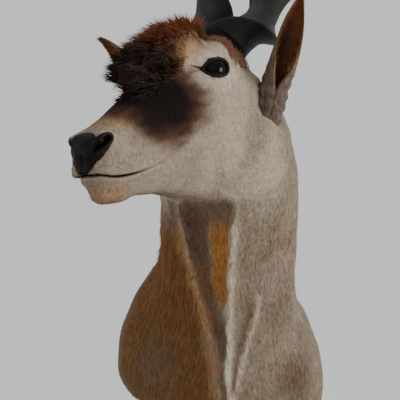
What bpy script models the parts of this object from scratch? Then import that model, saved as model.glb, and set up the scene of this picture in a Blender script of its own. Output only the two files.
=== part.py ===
"""A giant eland shoulder mount: head, neck and chest on a board that hangs flat on a wall.

Metres, +Z up. The wall is the plane y = 0 and the mount looks along -Y, its head turned to its own right.
The origin is the middle of the board's rear face. Flesh nodes stand for the outside of the short coat.
"""

import math
import random

import bmesh
import bpy
from mathutils import Matrix, Vector
from mathutils.bvhtree import BVHTree

# Gap between touching pieces
GAP = 0.0003

# Head pose: the front of the mouth, then turn, nod and tilt about it
HEAD_PLACE = Vector((-0.187, -0.786, 0.159))
HEAD_TURN = math.radians(-30.0)
HEAD_NOD = math.radians(20.6)
HEAD_TILT = math.radians(3.0)
HEAD = (
    Matrix.Translation(HEAD_PLACE)
    @ Matrix.Rotation(HEAD_TURN, 4, "Z")
    @ Matrix.Rotation(HEAD_NOD, 4, "X")
    @ Matrix.Rotation(HEAD_TILT, 4, "Y")
)

# Head stations, from the nose back. In the head's own frame x is to its left, y back and z up.
# y, top, bottom, then half widths at the jaw, cheek, upper face and crown line
HEAD_STATIONS = (
    (0.007, 0.052, 0.012, 0.007, 0.010, 0.010, 0.006),
    (0.011, 0.058, 0.004, 0.010, 0.016, 0.015, 0.010),
    (0.019, 0.063, -0.008, 0.013, 0.024, 0.022, 0.015),
    (0.033, 0.069, -0.026, 0.017, 0.031, 0.030, 0.020),
    (0.050, 0.075, -0.035, 0.020, 0.036, 0.034, 0.022),
    (0.075, 0.083, -0.038, 0.021, 0.040, 0.035, 0.022),
    (0.105, 0.095, -0.038, 0.022, 0.043, 0.038, 0.024),
    (0.140, 0.109, -0.040, 0.025, 0.048, 0.042, 0.027),
    (0.175, 0.126, -0.043, 0.029, 0.054, 0.049, 0.032),
    (0.210, 0.142, -0.050, 0.033, 0.061, 0.057, 0.038),
    (0.250, 0.159, -0.059, 0.039, 0.068, 0.066, 0.047),
    (0.290, 0.174, -0.067, 0.045, 0.070, 0.072, 0.055),
    (0.330, 0.184, -0.070, 0.050, 0.073, 0.077, 0.058),
    (0.370, 0.185, -0.058, 0.050, 0.074, 0.077, 0.055),
    (0.410, 0.168, -0.025, 0.050, 0.071, 0.070, 0.048),
    (0.445, 0.135, 0.020, 0.038, 0.054, 0.050, 0.034),
)
STATION_HEIGHTS = (0.10, 0.42, 0.70, 0.93)
HEAD_RING = 36

# Rounded forms laid over the head loft on both sides: centre, then half sizes
HEAD_FORMS = {
    "orbit": ((0.047, 0.288, 0.126), (0.032, 0.040, 0.031)),
    "brow": ((0.046, 0.283, 0.150), (0.022, 0.036, 0.016)),
    "jaw_muscle": ((0.049, 0.315, 0.010), (0.026, 0.055, 0.062)),
    "nostril_wing": ((0.018, 0.034, 0.052), (0.014, 0.021, 0.016)),
    "upper_lip": ((0.021, 0.055, 0.018), (0.018, 0.044, 0.017)),
    "ear_root": ((0.075, 0.385, 0.072), (0.023, 0.030, 0.046)),
}
CHIN = ((0.0, 0.050, -0.019), (0.020, 0.032, 0.017))

# Eye: the ball, the lids over it and the almond opening between them
EYE_CENTRE = Vector((0.0550, 0.290, 0.1290))
EYE_RADIUS = 0.0230
LID_THICKNESS = 0.0030
EYE_FORWARD = math.radians(26.0)
EYE_UP = math.radians(4.0)
EYE_SLANT = math.radians(4.4)
LIDS_OPEN_FRONT = math.radians(64.0)
LIDS_OPEN_REAR = math.radians(50.0)
LIDS_OPEN_UP = math.radians(33.0)
LIDS_OPEN_DOWN = math.radians(27.0)

# Mouth slit: lip line from the front to the corner, in the head's frame (half width, y, z)
LIP_LINE = (
    (0.0, 0.004, 0.0060),
    (0.011, 0.007, 0.0055),
    (0.021, 0.016, 0.0045),
    (0.0270, 0.034, 0.0025),
    (0.0335, 0.058, 0.0010),
    (0.0360, 0.084, 0.0010),
    (0.0385, 0.112, 0.0025),
)
SLIT_DEPTH = 0.009
SLIT_HEIGHT = 0.0030

# Nostril: a comma from the front of the pad back and up
NOSTRIL_LINE = (
    ((0.0120, 0.006, 0.036), 0.0040),
    ((0.0220, 0.014, 0.043), 0.0056),
    ((0.0300, 0.026, 0.0515), 0.0062),
    ((0.0345, 0.037, 0.0565), 0.0042),
)

# Neck and chest stations: throat point, nape point, half widths to the left and right,
# and how much the nape half is wider
BODY_STATIONS = (
    ((0.000, 0.020, -0.245), (0.000, 0.020, 0.262), 0.160, 0.144, -0.34),
    ((0.000, -0.060, -0.252), (0.000, -0.035, 0.280), 0.168, 0.148, -0.34),
    ((0.000, -0.150, -0.245), (0.000, -0.085, 0.299), 0.168, 0.146, -0.32),
    ((0.000, -0.235, -0.210), (0.002, -0.148, 0.319), 0.156, 0.142, -0.28),
    ((0.002, -0.295, -0.150), (0.005, -0.215, 0.338), 0.137, 0.130, -0.14),
    ((0.002, -0.330, -0.070), (0.008, -0.280, 0.358), 0.133, 0.114, -0.02),
    ((-0.002, -0.375, 0.010), (0.012, -0.345, 0.380), 0.133, 0.112, 0.03),
    ((-0.010, -0.445, 0.090), (0.018, -0.410, 0.400), 0.127, 0.112, 0.04),
    ((-0.020, -0.520, 0.165), (0.018, -0.475, 0.418), 0.114, 0.108, 0.04),
    ((-0.030, -0.575, 0.215), (0.004, -0.540, 0.430), 0.090, 0.096, 0.03),
)
BODY_RING = 44

# Breast swellings, left and right: centre, half sizes, and how far the top leans in
BREASTS = (
    ((0.101, -0.085, 0.008), (0.091, 0.190, 0.187), math.radians(-21.0)),
    ((-0.050, -0.090, 0.068), (0.121, 0.190, 0.214), math.radians(34.0)),
)

# Cut between neck and chest: a point of the plane and the way that the neck lies
CHEST_CUT = (Vector((0.0, -0.300, 0.0)), Vector((0.0, -0.960, 0.280)))

# Outline of the head's share of the flesh, seen from its side: y and z in its own frame
HEAD_SHARE = (
    (-0.100, -0.086),
    (0.150, -0.084),
    (0.260, -0.086),
    (0.335, -0.088),
    (0.372, -0.064),
    (0.392, -0.010),
    (0.412, 0.050),
    (0.432, 0.105),
    (0.452, 0.160),
    (0.470, 0.230),
    (0.480, 0.330),
    (-0.100, 0.330),
)
HEAD_SHARE_REACH = 0.30

# Forelock core, a low pad of hair from the bridge to between the horns, and the standing
# locks on it: rows from the bridge back, and how they lie in the head's frame
FORELOCK = ((0.0, 0.236, 0.162), (0.056, 0.108, 0.038), math.radians(19.0))
FORELOCK_LOW = 0.035
LOCK_ROWS = 8
LOCKS_ACROSS = 8
LOCK_SPAN = (0.140, 0.402)
LOCK_FAN = math.radians(80.0)
LOCK_LIE = Vector((0.0, -1.0, 0.25))
LOCK_SPREAD = 0.55
LOCK_LIFT = 0.62
LOCK_LENGTH = (0.040, 0.052)
LOCK_WIDTH = 0.0225
LOCK_THICKNESS = 0.0070
LOCK_SUNK = 0.008
LOCK_STEPS = 4
LOCK_SEED = 7

# Horns, left 1 and right -1: foot of the axis, rise and spread in the head's frame, and the keel
HORN_FOOT = {1: Vector((0.036, 0.396, 0.162)), -1: Vector((0.037, 0.398, 0.160))}
HORN_RISE = math.radians(33.0)
HORN_SPREAD = {1: math.radians(15.0), -1: math.radians(7.0)}
HORN_FLARE = 0.06
HORN_LENGTH = 0.80
HORN_RADIUS = 0.0305
KEEL_HEIGHT = 0.0210
KEEL_WIDTH = math.radians(68.0)
KEEL_START = math.radians(-30.0)
KEEL_TURNS = 2.2
SPIRAL_SHARE = 0.65
CORKSCREW = 0.0090
HORN_RINGS = 36
HORN_SIDES = 14

# Ears: axis points in the head's frame with the width there, how far the rim wraps round
# in degrees to each side, and the wall's thickness
EAR_AXIS = (
    ((0.066, 0.382, 0.008), 0.034, 172.0, 0.0165),
    ((0.085, 0.386, 0.028), 0.042, 172.0, 0.0200),
    ((0.097, 0.390, 0.056), 0.047, 170.0, 0.0170),
    ((0.109, 0.395, 0.088), 0.049, 164.0, 0.0090),
    ((0.124, 0.400, 0.122), 0.048, 134.0, 0.0045),
    ((0.137, 0.406, 0.157), 0.044, 108.0, 0.0038),
    ((0.149, 0.411, 0.190), 0.035, 90.0, 0.0034),
    ((0.158, 0.415, 0.214), 0.020, 80.0, 0.0030),
    ((0.163, 0.417, 0.228), 0.007, 70.0, 0.0024),
)
EAR_RIGHT_SHIFT = Vector((0.045, -0.030, -0.010))
EAR_FACING = Vector((0.55, -0.80, 0.15))
EAR_RINGS = 18
EAR_SIDES = 8

# Backing board, let into the rear of the chest
BOARD_INSET = 0.014
BOARD_THICKNESS = 0.018

# Colour and roughness of each sub-part, by the start of its name
FINISHES = {
    "head": ((0.36, 0.31, 0.23), 0.90),
    "neck": ((0.30, 0.24, 0.17), 0.90),
    "chest": ((0.27, 0.20, 0.14), 0.90),
    "ear": ((0.30, 0.20, 0.13), 0.90),
    "eye": ((0.010, 0.009, 0.012), 0.08),
    "horn": ((0.035, 0.032, 0.030), 0.55),
    "back_board": ((0.42, 0.30, 0.18), 0.75),
}

# Folds of the dewlap: x, y, z and thickness down each side of the throat
DEWLAP_FOLDS = (
    (
        (0.015, -0.560, 0.186, 0.009),
        (0.012, -0.520, 0.150, 0.011),
        (0.010, -0.455, 0.085, 0.011),
        (0.009, -0.395, 0.020, 0.011),
        (0.010, -0.350, -0.045, 0.011),
        (0.012, -0.322, -0.110, 0.012),
        (0.010, -0.285, -0.170, 0.012),
        (0.006, -0.230, -0.215, 0.010),
    ),
    (
        (-0.082, -0.560, 0.200, 0.010),
        (-0.070, -0.505, 0.145, 0.011),
        (-0.052, -0.445, 0.085, 0.011),
        (-0.032, -0.392, 0.020, 0.011),
        (-0.016, -0.350, -0.045, 0.011),
        (-0.011, -0.322, -0.110, 0.012),
        (-0.009, -0.285, -0.170, 0.012),
        (-0.005, -0.230, -0.215, 0.010),
    ),
)

# Voxel and triangle sizes for the flesh, and how much its surface is relaxed
FLESH_VOXEL = 0.0065
HEAD_SMOOTHING = 6
BODY_SMOOTHING = 26
FLESH_SHARE = 0.065


def clear_scene():
    for obj in list(bpy.data.objects):
        bpy.data.objects.remove(obj, do_unlink=True)


def collection_named(name):
    made = bpy.data.collections.new(name)
    bpy.context.scene.collection.children.link(made)
    return made


def mesh_object(name, bm, home):
    mesh = bpy.data.meshes.new(name)
    bm.to_mesh(mesh)
    bm.free()
    obj = bpy.data.objects.new(name, mesh)
    home.objects.link(obj)
    return obj


def catmull(points, count, closed=False):
    """count points spread evenly in parameter on a smooth curve through points."""
    total = len(points)
    made = []
    spans = total if closed else total - 1
    for i in range(count):
        at = spans * i / count if closed else spans * i / (count - 1)
        k = min(int(at), spans - 1)
        t = at - k
        if closed:
            p = [points[(k + j) % total] for j in (-1, 0, 1, 2)]
        else:
            p = [points[max(0, min(total - 1, k + j))] for j in (-1, 0, 1, 2)]
        made.append(
            0.5
            * (
                2 * p[1]
                + (p[2] - p[0]) * t
                + (2 * p[0] - 5 * p[1] + 4 * p[2] - p[3]) * t * t
                + (3 * p[1] - p[0] - 3 * p[2] + p[3]) * t * t * t
            )
        )
    return made


def facing_out(bm):
    """The same closed bmesh with all its faces turned outwards."""
    bm.normal_update()
    bmesh.ops.recalc_face_normals(bm, faces=bm.faces)
    return bm


def loft(rings):
    """A closed bmesh through rings of equal point count, capped at both ends."""
    bm = bmesh.new()
    rows = [[bm.verts.new(p) for p in ring] for ring in rings]
    count = len(rings[0])
    for a, b in zip(rows, rows[1:]):
        for i in range(count):
            j = (i + 1) % count
            bm.faces.new((a[i], a[j], b[j], b[i]))
    bm.faces.new(list(reversed(rows[0])))
    bm.faces.new(rows[-1])
    return facing_out(bm)


def ellipsoid(centre, half_sizes, turn=None):
    bm = bmesh.new()
    bmesh.ops.create_uvsphere(bm, u_segments=28, v_segments=18, radius=1.0)
    place = Matrix.Translation(centre) @ (turn or Matrix.Identity(4))
    bm.transform(place @ Matrix.Diagonal((*half_sizes, 1.0)))
    return bm


def tube(centres, radii, sides=14):
    """A closed tube through the centres, its own radius at each."""
    rings = []
    for i, centre in enumerate(centres):
        ahead = centres[min(i + 1, len(centres) - 1)] - centres[max(i - 1, 0)]
        across = ahead.cross(Vector((0.0, 1.0, 0.001))).normalized()
        over = across.cross(ahead).normalized()
        rings.append(
            [
                centre
                + radii[i] * (math.cos(a) * across + math.sin(a) * over)
                for a in (2 * math.pi * k / sides for k in range(sides))
            ]
        )
    return loft(rings)


def head_ring(station):
    y, top, bottom, jaw, cheek, upper, crown = station
    height = top - bottom
    half = [(0.55 * jaw, bottom + 0.012 * height)]
    for width, share in zip((jaw, cheek, upper, crown), STATION_HEIGHTS):
        half.append((width, bottom + share * height))
    half.append((0.45 * crown, top - 0.012 * height))
    outline = [Vector((0.0, y, bottom))]
    outline += [Vector((x, y, z)) for x, z in half]
    outline.append(Vector((0.0, y, top)))
    outline += [Vector((-x, y, z)) for x, z in reversed(half)]
    return catmull(outline, HEAD_RING, closed=True)


def between(stations, steps):
    """Stations with smooth ones added between them, every number on its own curve."""
    columns = [
        catmull([Vector((value, 0.0, 0.0)) for value in column], steps)
        for column in zip(*stations)
    ]
    return [tuple(point.x for point in row) for row in zip(*columns)]


def body_ring(station):
    throat = Vector(station[0:3])
    nape = Vector(station[3:6])
    left, right, nape_share = station[6:9]
    middle = (throat + nape) / 2
    rise = (nape - throat) / 2
    side = Vector((1.0, 0.0, 0.0))
    side = (side - side.project(rise)).normalized()
    ring = []
    for k in range(BODY_RING):
        angle = 2 * math.pi * k / BODY_RING
        along = math.cos(angle)
        across = math.sin(angle)
        width = left if across > 0 else right
        ring.append(middle + along * rise + width * across * (1 + nape_share * along) * side)
    return ring


def flesh_forms():
    """Closed meshes that overlap and together make the head, neck and chest."""
    forms = []
    head = loft([head_ring(s) for s in between(HEAD_STATIONS, 46)])
    head.transform(HEAD)
    forms.append(head)
    for centre, sizes in HEAD_FORMS.values():
        for side in (1, -1):
            form = ellipsoid((side * centre[0], centre[1], centre[2]), sizes)
            form.transform(HEAD)
            forms.append(form)
    chin = ellipsoid(*CHIN)
    chin.transform(HEAD)
    forms.append(chin)
    centre, sizes, lean = FORELOCK
    pad = ellipsoid(centre, sizes, Matrix.Rotation(lean, 4, "X"))
    pad.transform(HEAD)
    forms.append(pad)
    flat = [(*station[0], *station[1], *station[2:]) for station in BODY_STATIONS]
    forms.append(loft([body_ring(s) for s in between(flat, 44)]))
    for centre, sizes, lean in BREASTS:
        forms.append(ellipsoid(centre, sizes, Matrix.Rotation(lean, 4, "Y")))
    for fold in DEWLAP_FOLDS:
        line = catmull([Vector(p[:3]) for p in fold], 28)
        radii = [v.x for v in catmull([Vector((p[3], 0, 0)) for p in fold], 28)]
        forms.append(tube(line, radii))
    return forms


def joined(forms):
    """One bmesh that holds every form."""
    whole = bmesh.new()
    scrap = bpy.data.meshes.new("scrap")
    for form in forms:
        form.to_mesh(scrap)
        form.free()
        whole.from_mesh(scrap)
    bpy.data.meshes.remove(scrap)
    return whole


def applied(obj):
    """Replaces obj's mesh by the evaluated one and clears its modifiers."""
    graph = bpy.context.evaluated_depsgraph_get()
    mesh = bpy.data.meshes.new_from_object(obj.evaluated_get(graph))
    obj.modifiers.clear()
    old = obj.data
    obj.data = mesh
    bpy.data.meshes.remove(old)
    return obj


def flesh(home):
    obj = mesh_object("flesh", joined(flesh_forms()), home)
    remesh = obj.modifiers.new("one_skin", "REMESH")
    remesh.mode = "VOXEL"
    remesh.voxel_size = FLESH_VOXEL
    applied(obj)
    body = obj.vertex_groups.new(name="body")
    to_head = HEAD.inverted()
    for vert in obj.data.vertices:
        spot = to_head @ vert.co
        body.add([vert.index], max(0.0, min(1.0, (spot.y - 0.30) / 0.12 - spot.z * 2)), "REPLACE")
    for group, turns in (("", HEAD_SMOOTHING), ("body", BODY_SMOOTHING)):
        relax = obj.modifiers.new("relax", "SMOOTH")
        relax.factor = 0.5
        relax.iterations = turns
        relax.vertex_group = group
    fewer = obj.modifiers.new("fewer", "DECIMATE")
    fewer.ratio = FLESH_SHARE
    fewer.use_collapse_triangulate = True
    return applied(obj)


def halved(obj, name, point, normal, home):
    """A new object with what lies on the normal's side of the plane, closed with a flat face."""
    bm = bmesh.new()
    bm.from_mesh(obj.data)
    everything = bm.verts[:] + bm.edges[:] + bm.faces[:]
    bmesh.ops.bisect_plane(
        bm, geom=everything, dist=1e-6, plane_co=point, plane_no=normal, clear_inner=True
    )
    rims = [edge for edge in bm.edges if edge.is_boundary]
    made = bmesh.ops.contextual_create(bm, geom=rims)["faces"]
    bmesh.ops.triangulate(bm, faces=made)
    return mesh_object(name, facing_out(bm), home)


def boolean(obj, other, operation, solver="EXACT"):
    modifier = obj.modifiers.new(operation.lower(), "BOOLEAN")
    modifier.operation = operation
    modifier.solver = solver
    modifier.object = other
    applied(obj)
    largest_only(obj)


def largest_only(obj):
    """Keeps the closed surface of greatest volume."""
    bm = bmesh.new()
    bm.from_mesh(obj.data)
    bmesh.ops.remove_doubles(bm, verts=bm.verts, dist=1e-7)
    waiting = set(bm.verts)
    groups = []
    while waiting:
        group = set()
        edge_of_group = [waiting.pop()]
        while edge_of_group:
            vert = edge_of_group.pop()
            group.add(vert)
            for edge in vert.link_edges:
                other = edge.other_vert(vert)
                if other in waiting:
                    waiting.discard(other)
                    edge_of_group.append(other)
        groups.append(group)
    best = max(groups, key=enclosed)
    bmesh.ops.delete(bm, geom=[v for v in bm.verts if v not in best], context="VERTS")
    bm.to_mesh(obj.data)
    bm.free()


def enclosed(verts):
    """Volume inside the faces that these vertices carry."""
    total = 0.0
    for face in {face for vert in verts for face in vert.link_faces}:
        corners = [loop.vert.co for loop in face.loops]
        for b, c in zip(corners[1:], corners[2:]):
            total += corners[0].dot(b.cross(c)) / 6
    return total


def eye_frame(side):
    """Place of the eyeball: its z axis looks out of the head and x runs to the rear corner."""
    centre = Vector((side * EYE_CENTRE.x, EYE_CENTRE.y, EYE_CENTRE.z))
    out = Vector(
        (
            side * math.cos(EYE_FORWARD) * math.cos(EYE_UP),
            -math.sin(EYE_FORWARD) * math.cos(EYE_UP),
            math.sin(EYE_UP),
        )
    )
    rear = Vector((0.0, math.cos(EYE_SLANT), math.sin(-EYE_SLANT)))
    rear = (rear - rear.project(out)).normalized()
    upper = out.cross(rear) * side
    turn = Matrix((rear, upper, out)).transposed().to_4x4()
    return HEAD @ Matrix.Translation(centre) @ turn


def ball(radius, u=18, v=11):
    bm = bmesh.new()
    bmesh.ops.create_uvsphere(bm, u_segments=u, v_segments=v, radius=radius)
    return bm


def eye_opening(side):
    """A cone from the eye's centre out through the almond between the lids."""
    count = 22
    near = []
    far = []
    for k in range(count):
        angle = 2 * math.pi * k / count
        rearward = math.cos(angle)
        upward = math.sin(angle)
        wide = math.tan(LIDS_OPEN_REAR if rearward > 0 else LIDS_OPEN_FRONT)
        high = math.tan(LIDS_OPEN_UP if upward > 0 else LIDS_OPEN_DOWN)
        sharp = 1 - 0.5 * max(0.0, -rearward) ** 3 - 0.25 * max(0.0, rearward) ** 4
        point = Vector((wide * rearward, high * upward * sharp, 1.0)) * EYE_RADIUS
        near.append(point * 0.3)
        far.append(point * 1.6)
    bm = loft([near, far])
    bm.transform(eye_frame(side))
    return facing_out(bm)


def lock(root, out, lie, length, width, lift, twist):
    """A flat tapered lock of hair that leaves the skin and bends over to lie along it."""
    rings = []
    spot = root - out * LOCK_SUNK
    for i in range(LOCK_STEPS + 1):
        share = i / LOCK_STEPS
        ahead = (lie + out * lift * (1.3 - 0.9 * share)).normalized()
        across = ahead.cross(out + twist * share).normalized()
        over = across.cross(ahead)
        half_width = 0.5 * width * (1 - share**1.8) + 0.0006
        half_thick = 0.5 * LOCK_THICKNESS * (1 - share**1.5) + 0.0004
        rings.append(
            [
                spot + across * half_width,
                spot + over * half_thick,
                spot - across * half_width,
                spot - over * half_thick,
            ]
        )
        spot = spot + ahead * (length + LOCK_SUNK) / LOCK_STEPS
    return loft(rings)


def add_forelock(head):
    """Fuses the standing locks of the forelock into the head, roots sunk in."""
    chance = random.Random(LOCK_SEED)
    graph = bpy.context.evaluated_depsgraph_get()
    skin = BVHTree.FromObject(head, graph)
    locks = collection_named("locks")
    lie_way = HEAD.to_3x3()
    centre, _, lean = FORELOCK
    for row in range(LOCK_ROWS):
        for place in range(LOCKS_ACROSS):
            share = (row + chance.uniform(0.2, 0.8)) / LOCK_ROWS
            y = LOCK_SPAN[0] + (LOCK_SPAN[1] - LOCK_SPAN[0]) * share
            fan = LOCK_FAN * (2 * (place + chance.uniform(0.15, 0.85)) / LOCKS_ACROSS - 1)
            low = centre[2] + (y - centre[1]) * math.tan(lean) - FORELOCK_LOW
            way = Vector((math.sin(fan), 0.0, math.cos(fan)))
            spot = Vector((0.0, y, low))
            hit, normal, _, _ = skin.ray_cast(HEAD @ (spot + way * 0.2), -(lie_way @ way), 0.2)
            if hit is None:
                continue
            lie = LOCK_LIE + Vector((LOCK_SPREAD * math.sin(fan), 0.0, 0.0))
            lie += Vector([chance.uniform(-0.22, 0.22) for _ in range(3)])
            lie = lie_way @ lie
            lie = (lie - lie.project(normal)).normalized()
            lift = LOCK_LIFT * (0.35 + 0.65 * math.cos(fan)) * (1.05 - 0.4 * share)
            lift *= chance.uniform(0.7, 1.2)
            size = chance.uniform(*LOCK_LENGTH) * (0.72 + 0.28 * math.sin(math.pi * share))
            width = LOCK_WIDTH * chance.uniform(0.8, 1.15)
            twist = Vector([chance.uniform(-0.5, 0.5) for _ in range(3)])
            mesh_object(f"lock_{row}_{place}", lock(hit, normal, lie, size, width, lift, twist), locks)
    union = head.modifiers.new("forelock", "BOOLEAN")
    union.operation = "UNION"
    union.solver = "EXACT"
    union.operand_type = "COLLECTION"
    union.collection = locks
    applied(head)
    largest_only(head)
    for obj in list(locks.objects):
        bpy.data.objects.remove(obj, do_unlink=True)
    bpy.data.collections.remove(locks)


def grown(bm, by):
    """The same closed bmesh with its faces moved out by this distance."""
    bm.normal_update()
    moves = [(vert, vert.normal * by * vert.calc_shell_factor()) for vert in bm.verts]
    for vert, move in moves:
        vert.co += move
    return bm


def horn(side):
    """One horn: a tapered round core with a keel that winds round it, straight at the tip."""
    spread = Vector(
        (
            side * math.sin(HORN_SPREAD[side]),
            math.cos(HORN_SPREAD[side]) * math.cos(HORN_RISE),
            math.cos(HORN_SPREAD[side]) * math.sin(HORN_RISE),
        )
    )
    foot = HORN_FOOT[side] * Vector((side, 1.0, 1.0))
    across = Vector((side, 0.0, 0.0))
    across = (across - across.project(spread)).normalized()
    fore = spread.cross(across) * side
    rings = []
    for i in range(HORN_RINGS):
        share = i / (HORN_RINGS - 1)
        along = share**1.25
        wound = min(1.0, along / SPIRAL_SHARE)
        turn = KEEL_START + 2 * math.pi * KEEL_TURNS * (1 - (1 - wound) ** 1.5)
        thick = HORN_RADIUS * (1 - 0.62 * along) * min(1.0, (1.02 - along) * 6)
        keel = KEEL_HEIGHT * (1 - wound) ** 0.8
        swing = CORKSCREW * (1 - wound) * min(1.0, along * 9)
        middle = foot + spread * along * HORN_LENGTH
        middle += across * HORN_FLARE * along * along
        middle += swing * (math.cos(turn) * -fore + math.sin(turn) * across)
        ring = []
        for k in range(HORN_SIDES):
            angle = turn + 2 * math.pi * k / HORN_SIDES
            off = abs((2 * math.pi * k / HORN_SIDES + math.pi) % (2 * math.pi) - math.pi)
            bump = max(0.0, 1 - off / KEEL_WIDTH) ** 1.4
            radius = thick + keel * bump
            ring.append(middle + radius * (math.cos(angle) * -fore + math.sin(angle) * across))
        rings.append(ring)
    bm = loft(rings)
    bm.transform(HEAD)
    bmesh.ops.triangulate(bm, faces=bm.faces, quad_method="FIXED")
    return facing_out(bm)


def ear_line(side):
    """Axis points of the ear with width, wrap and wall at each."""
    points = []
    for i, (place, _, _, _) in enumerate(EAR_AXIS):
        point = Vector(place)
        if side < 0:
            point += EAR_RIGHT_SHIFT * (i / (len(EAR_AXIS) - 1)) ** 1.3
            point.x = -point.x
        points.append(point)
    return catmull(points, EAR_RINGS), catmull([Vector(row[1:]) for row in EAR_AXIS], EAR_RINGS)


def ear(side):
    """One ear: a thick stem that opens into a cupped, pointed leaf."""
    line, sizes = ear_line(side)
    facing = Vector((side * EAR_FACING.x, EAR_FACING.y, EAR_FACING.z))
    rings = []
    for i, centre in enumerate(line):
        ahead = (line[min(i + 1, EAR_RINGS - 1)] - line[max(i - 1, 0)]).normalized()
        open_way = (facing - facing.project(ahead)).normalized()
        across = ahead.cross(open_way)
        width, wrap, wall = sizes[i]
        outer = width / 2
        inner = max(0.0008, outer - wall)
        ring = []
        for radius, order in ((outer, 1), (inner, -1)):
            for k in range(EAR_SIDES):
                angle = math.radians(wrap) * (2 * k / (EAR_SIDES - 1) - 1) * order
                ring.append(
                    centre + radius * (-math.cos(angle) * open_way + math.sin(angle) * across)
                )
        rings.append(ring)
    bm = loft(rings)
    bm.transform(HEAD)
    bmesh.ops.triangulate(bm, faces=bm.faces)
    return facing_out(bm)


def ear_seat(side):
    """The ear's outline as a full round, clear of it all over."""
    line, sizes = ear_line(side)
    below = line[0] + (line[0] - line[1]).normalized() * GAP
    bm = tube([below] + line[1:], [size.x / 2 + 2 * GAP for size in sizes], sides=20)
    bm.transform(HEAD)
    return facing_out(bm)


def mouth_cutter():
    """A thin curved slab along the lip line, on both sides of the nose."""
    half = [Vector(p) for p in LIP_LINE]
    line = [Vector((-p.x, p.y, p.z)) for p in reversed(half[1:])] + half
    line = catmull(line, 34)
    rings = []
    for i, point in enumerate(line):
        ahead = line[min(i + 1, len(line) - 1)] - line[max(i - 1, 0)]
        out = Vector((ahead.y, -ahead.x, 0.0)).normalized()
        rise = Vector((0.0, 0.0, SLIT_HEIGHT / 2))
        outer = point + out * 0.008
        inner = point - out * SLIT_DEPTH
        rings.append([outer - rise, outer + rise, inner + rise * 0.5, inner - rise * 0.5])
    bm = loft(rings)
    bm.transform(HEAD)
    return bm


def nostril_cutter(side):
    centres = [Vector((side * p[0], p[1], p[2])) for p, _ in NOSTRIL_LINE]
    line = catmull(centres, 9)
    radii = [v.x for v in catmull([Vector((r, 0, 0)) for _, r in NOSTRIL_LINE], 9)]
    bm = tube(line, radii, sides=10)
    bm.transform(HEAD)
    return bm


def head_share(grow=0.0):
    """A prism round the head: the flesh inside it is the head, the rest is neck and chest."""
    corners = [Vector((0.0, y, z)) for y, z in HEAD_SHARE]
    outline = []
    for before, corner, after in zip(corners[-1:] + corners[:-1], corners, corners[1:] + corners[:1]):
        ahead = (after - before).normalized()
        outline.append(corner + grow * Vector((0.0, ahead.z, -ahead.y)))
    reach = Vector((HEAD_SHARE_REACH, 0.0, 0.0))
    bm = loft([[p - reach for p in outline], [p + reach for p in outline]])
    bm.transform(HEAD)
    return facing_out(bm)


def board(grow, behind):
    """The chest's rear outline drawn in towards its middle, from the wall forwards."""
    base = BODY_STATIONS[0]
    ring = body_ring((*base[0], *base[1], *base[2:]))
    middle = (Vector(base[0]) + Vector(base[1])) / 2
    rear = []
    front = []
    for point in ring:
        spoke = point - middle
        spot = middle + spoke - spoke.normalized() * (BOARD_INSET - grow)
        rear.append(Vector((spot.x, behind, spot.z)))
        front.append(Vector((spot.x, -BOARD_THICKNESS - grow, spot.z)))
    return facing_out(loft([rear, front]))


def material(name, colour, roughness):
    made = bpy.data.materials.new(name)
    made.use_nodes = True
    shader = made.node_tree.nodes["Principled BSDF"]
    shader.inputs["Base Color"].default_value = (*colour, 1.0)
    shader.inputs["Roughness"].default_value = roughness
    shader.inputs["Metallic"].default_value = 0.0
    return made


def dress(parts):
    """Gives each sub-part its own material: colour and roughness as on the mounted animal."""
    for name, (colour, roughness) in FINISHES.items():
        for obj in parts.objects:
            if obj.name.startswith(name):
                obj.data.materials.clear()
                obj.data.materials.append(material(obj.name, colour, roughness))


def main():
    clear_scene()
    parts = collection_named("giant_eland_mount")
    cutters = collection_named("cutters")
    whole = flesh(cutters)

    chest_point, chest_way = CHEST_CUT
    chest_way = chest_way.normalized()
    rear = halved(whole, "rear", chest_point - chest_way * GAP / 2, -chest_way, cutters)
    chest = halved(rear, "chest", Vector((0, 0, 0)), Vector((0.0, -1.0, 0.0)), parts)
    neck = halved(whole, "neck", chest_point + chest_way * GAP / 2, chest_way, parts)
    head = halved(whole, "head", chest_point + chest_way * GAP / 2, chest_way, parts)
    boolean(head, mesh_object("head_share", head_share(), cutters), "INTERSECT")
    boolean(neck, mesh_object("not_head", head_share(GAP), cutters), "DIFFERENCE")
    largest_only(chest)

    mesh_object("back_board", board(0.0, 0.0), parts)
    boolean(chest, mesh_object("pocket", board(GAP, 0.01), cutters), "DIFFERENCE")

    add_forelock(head)
    for side, word in ((1, "left"), (-1, "right")):
        mesh_object(f"eye_{word}", placed(ball(EYE_RADIUS), side), parts)
        lids = mesh_object(f"lids_{word}", placed(ball(EYE_RADIUS + LID_THICKNESS), side), cutters)
        boolean(head, lids, "UNION")
        boolean(head, mesh_object(f"almond_{word}", eye_opening(side), cutters), "DIFFERENCE")
        socket = mesh_object(f"socket_{word}", placed(ball(EYE_RADIUS + GAP), side), cutters)
        boolean(head, socket, "DIFFERENCE")
        mesh_object(f"horn_{word}", horn(side), parts)
        boolean(head, mesh_object(f"horn_seat_{word}", grown(horn(side), 2 * GAP), cutters), "DIFFERENCE")
        mesh_object(f"ear_{word}", ear(side), parts)
        seat = mesh_object(f"ear_seat_{word}", ear_seat(side), cutters)
        boolean(head, seat, "DIFFERENCE")
        boolean(neck, seat, "DIFFERENCE")
        boolean(head, mesh_object(f"nostril_{word}", nostril_cutter(side), cutters), "DIFFERENCE")
    boolean(head, mesh_object("mouth", mouth_cutter(), cutters), "DIFFERENCE")
    dress(parts)
    for obj in cutters.objects:
        obj.hide_render = True
        obj.display_type = "WIRE"


def placed(bm, side):
    bm.transform(eye_frame(side))
    return facing_out(bm)


main()
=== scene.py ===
import math

import bmesh
import bpy
import numpy as np
from mathutils import Matrix, Vector


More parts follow.
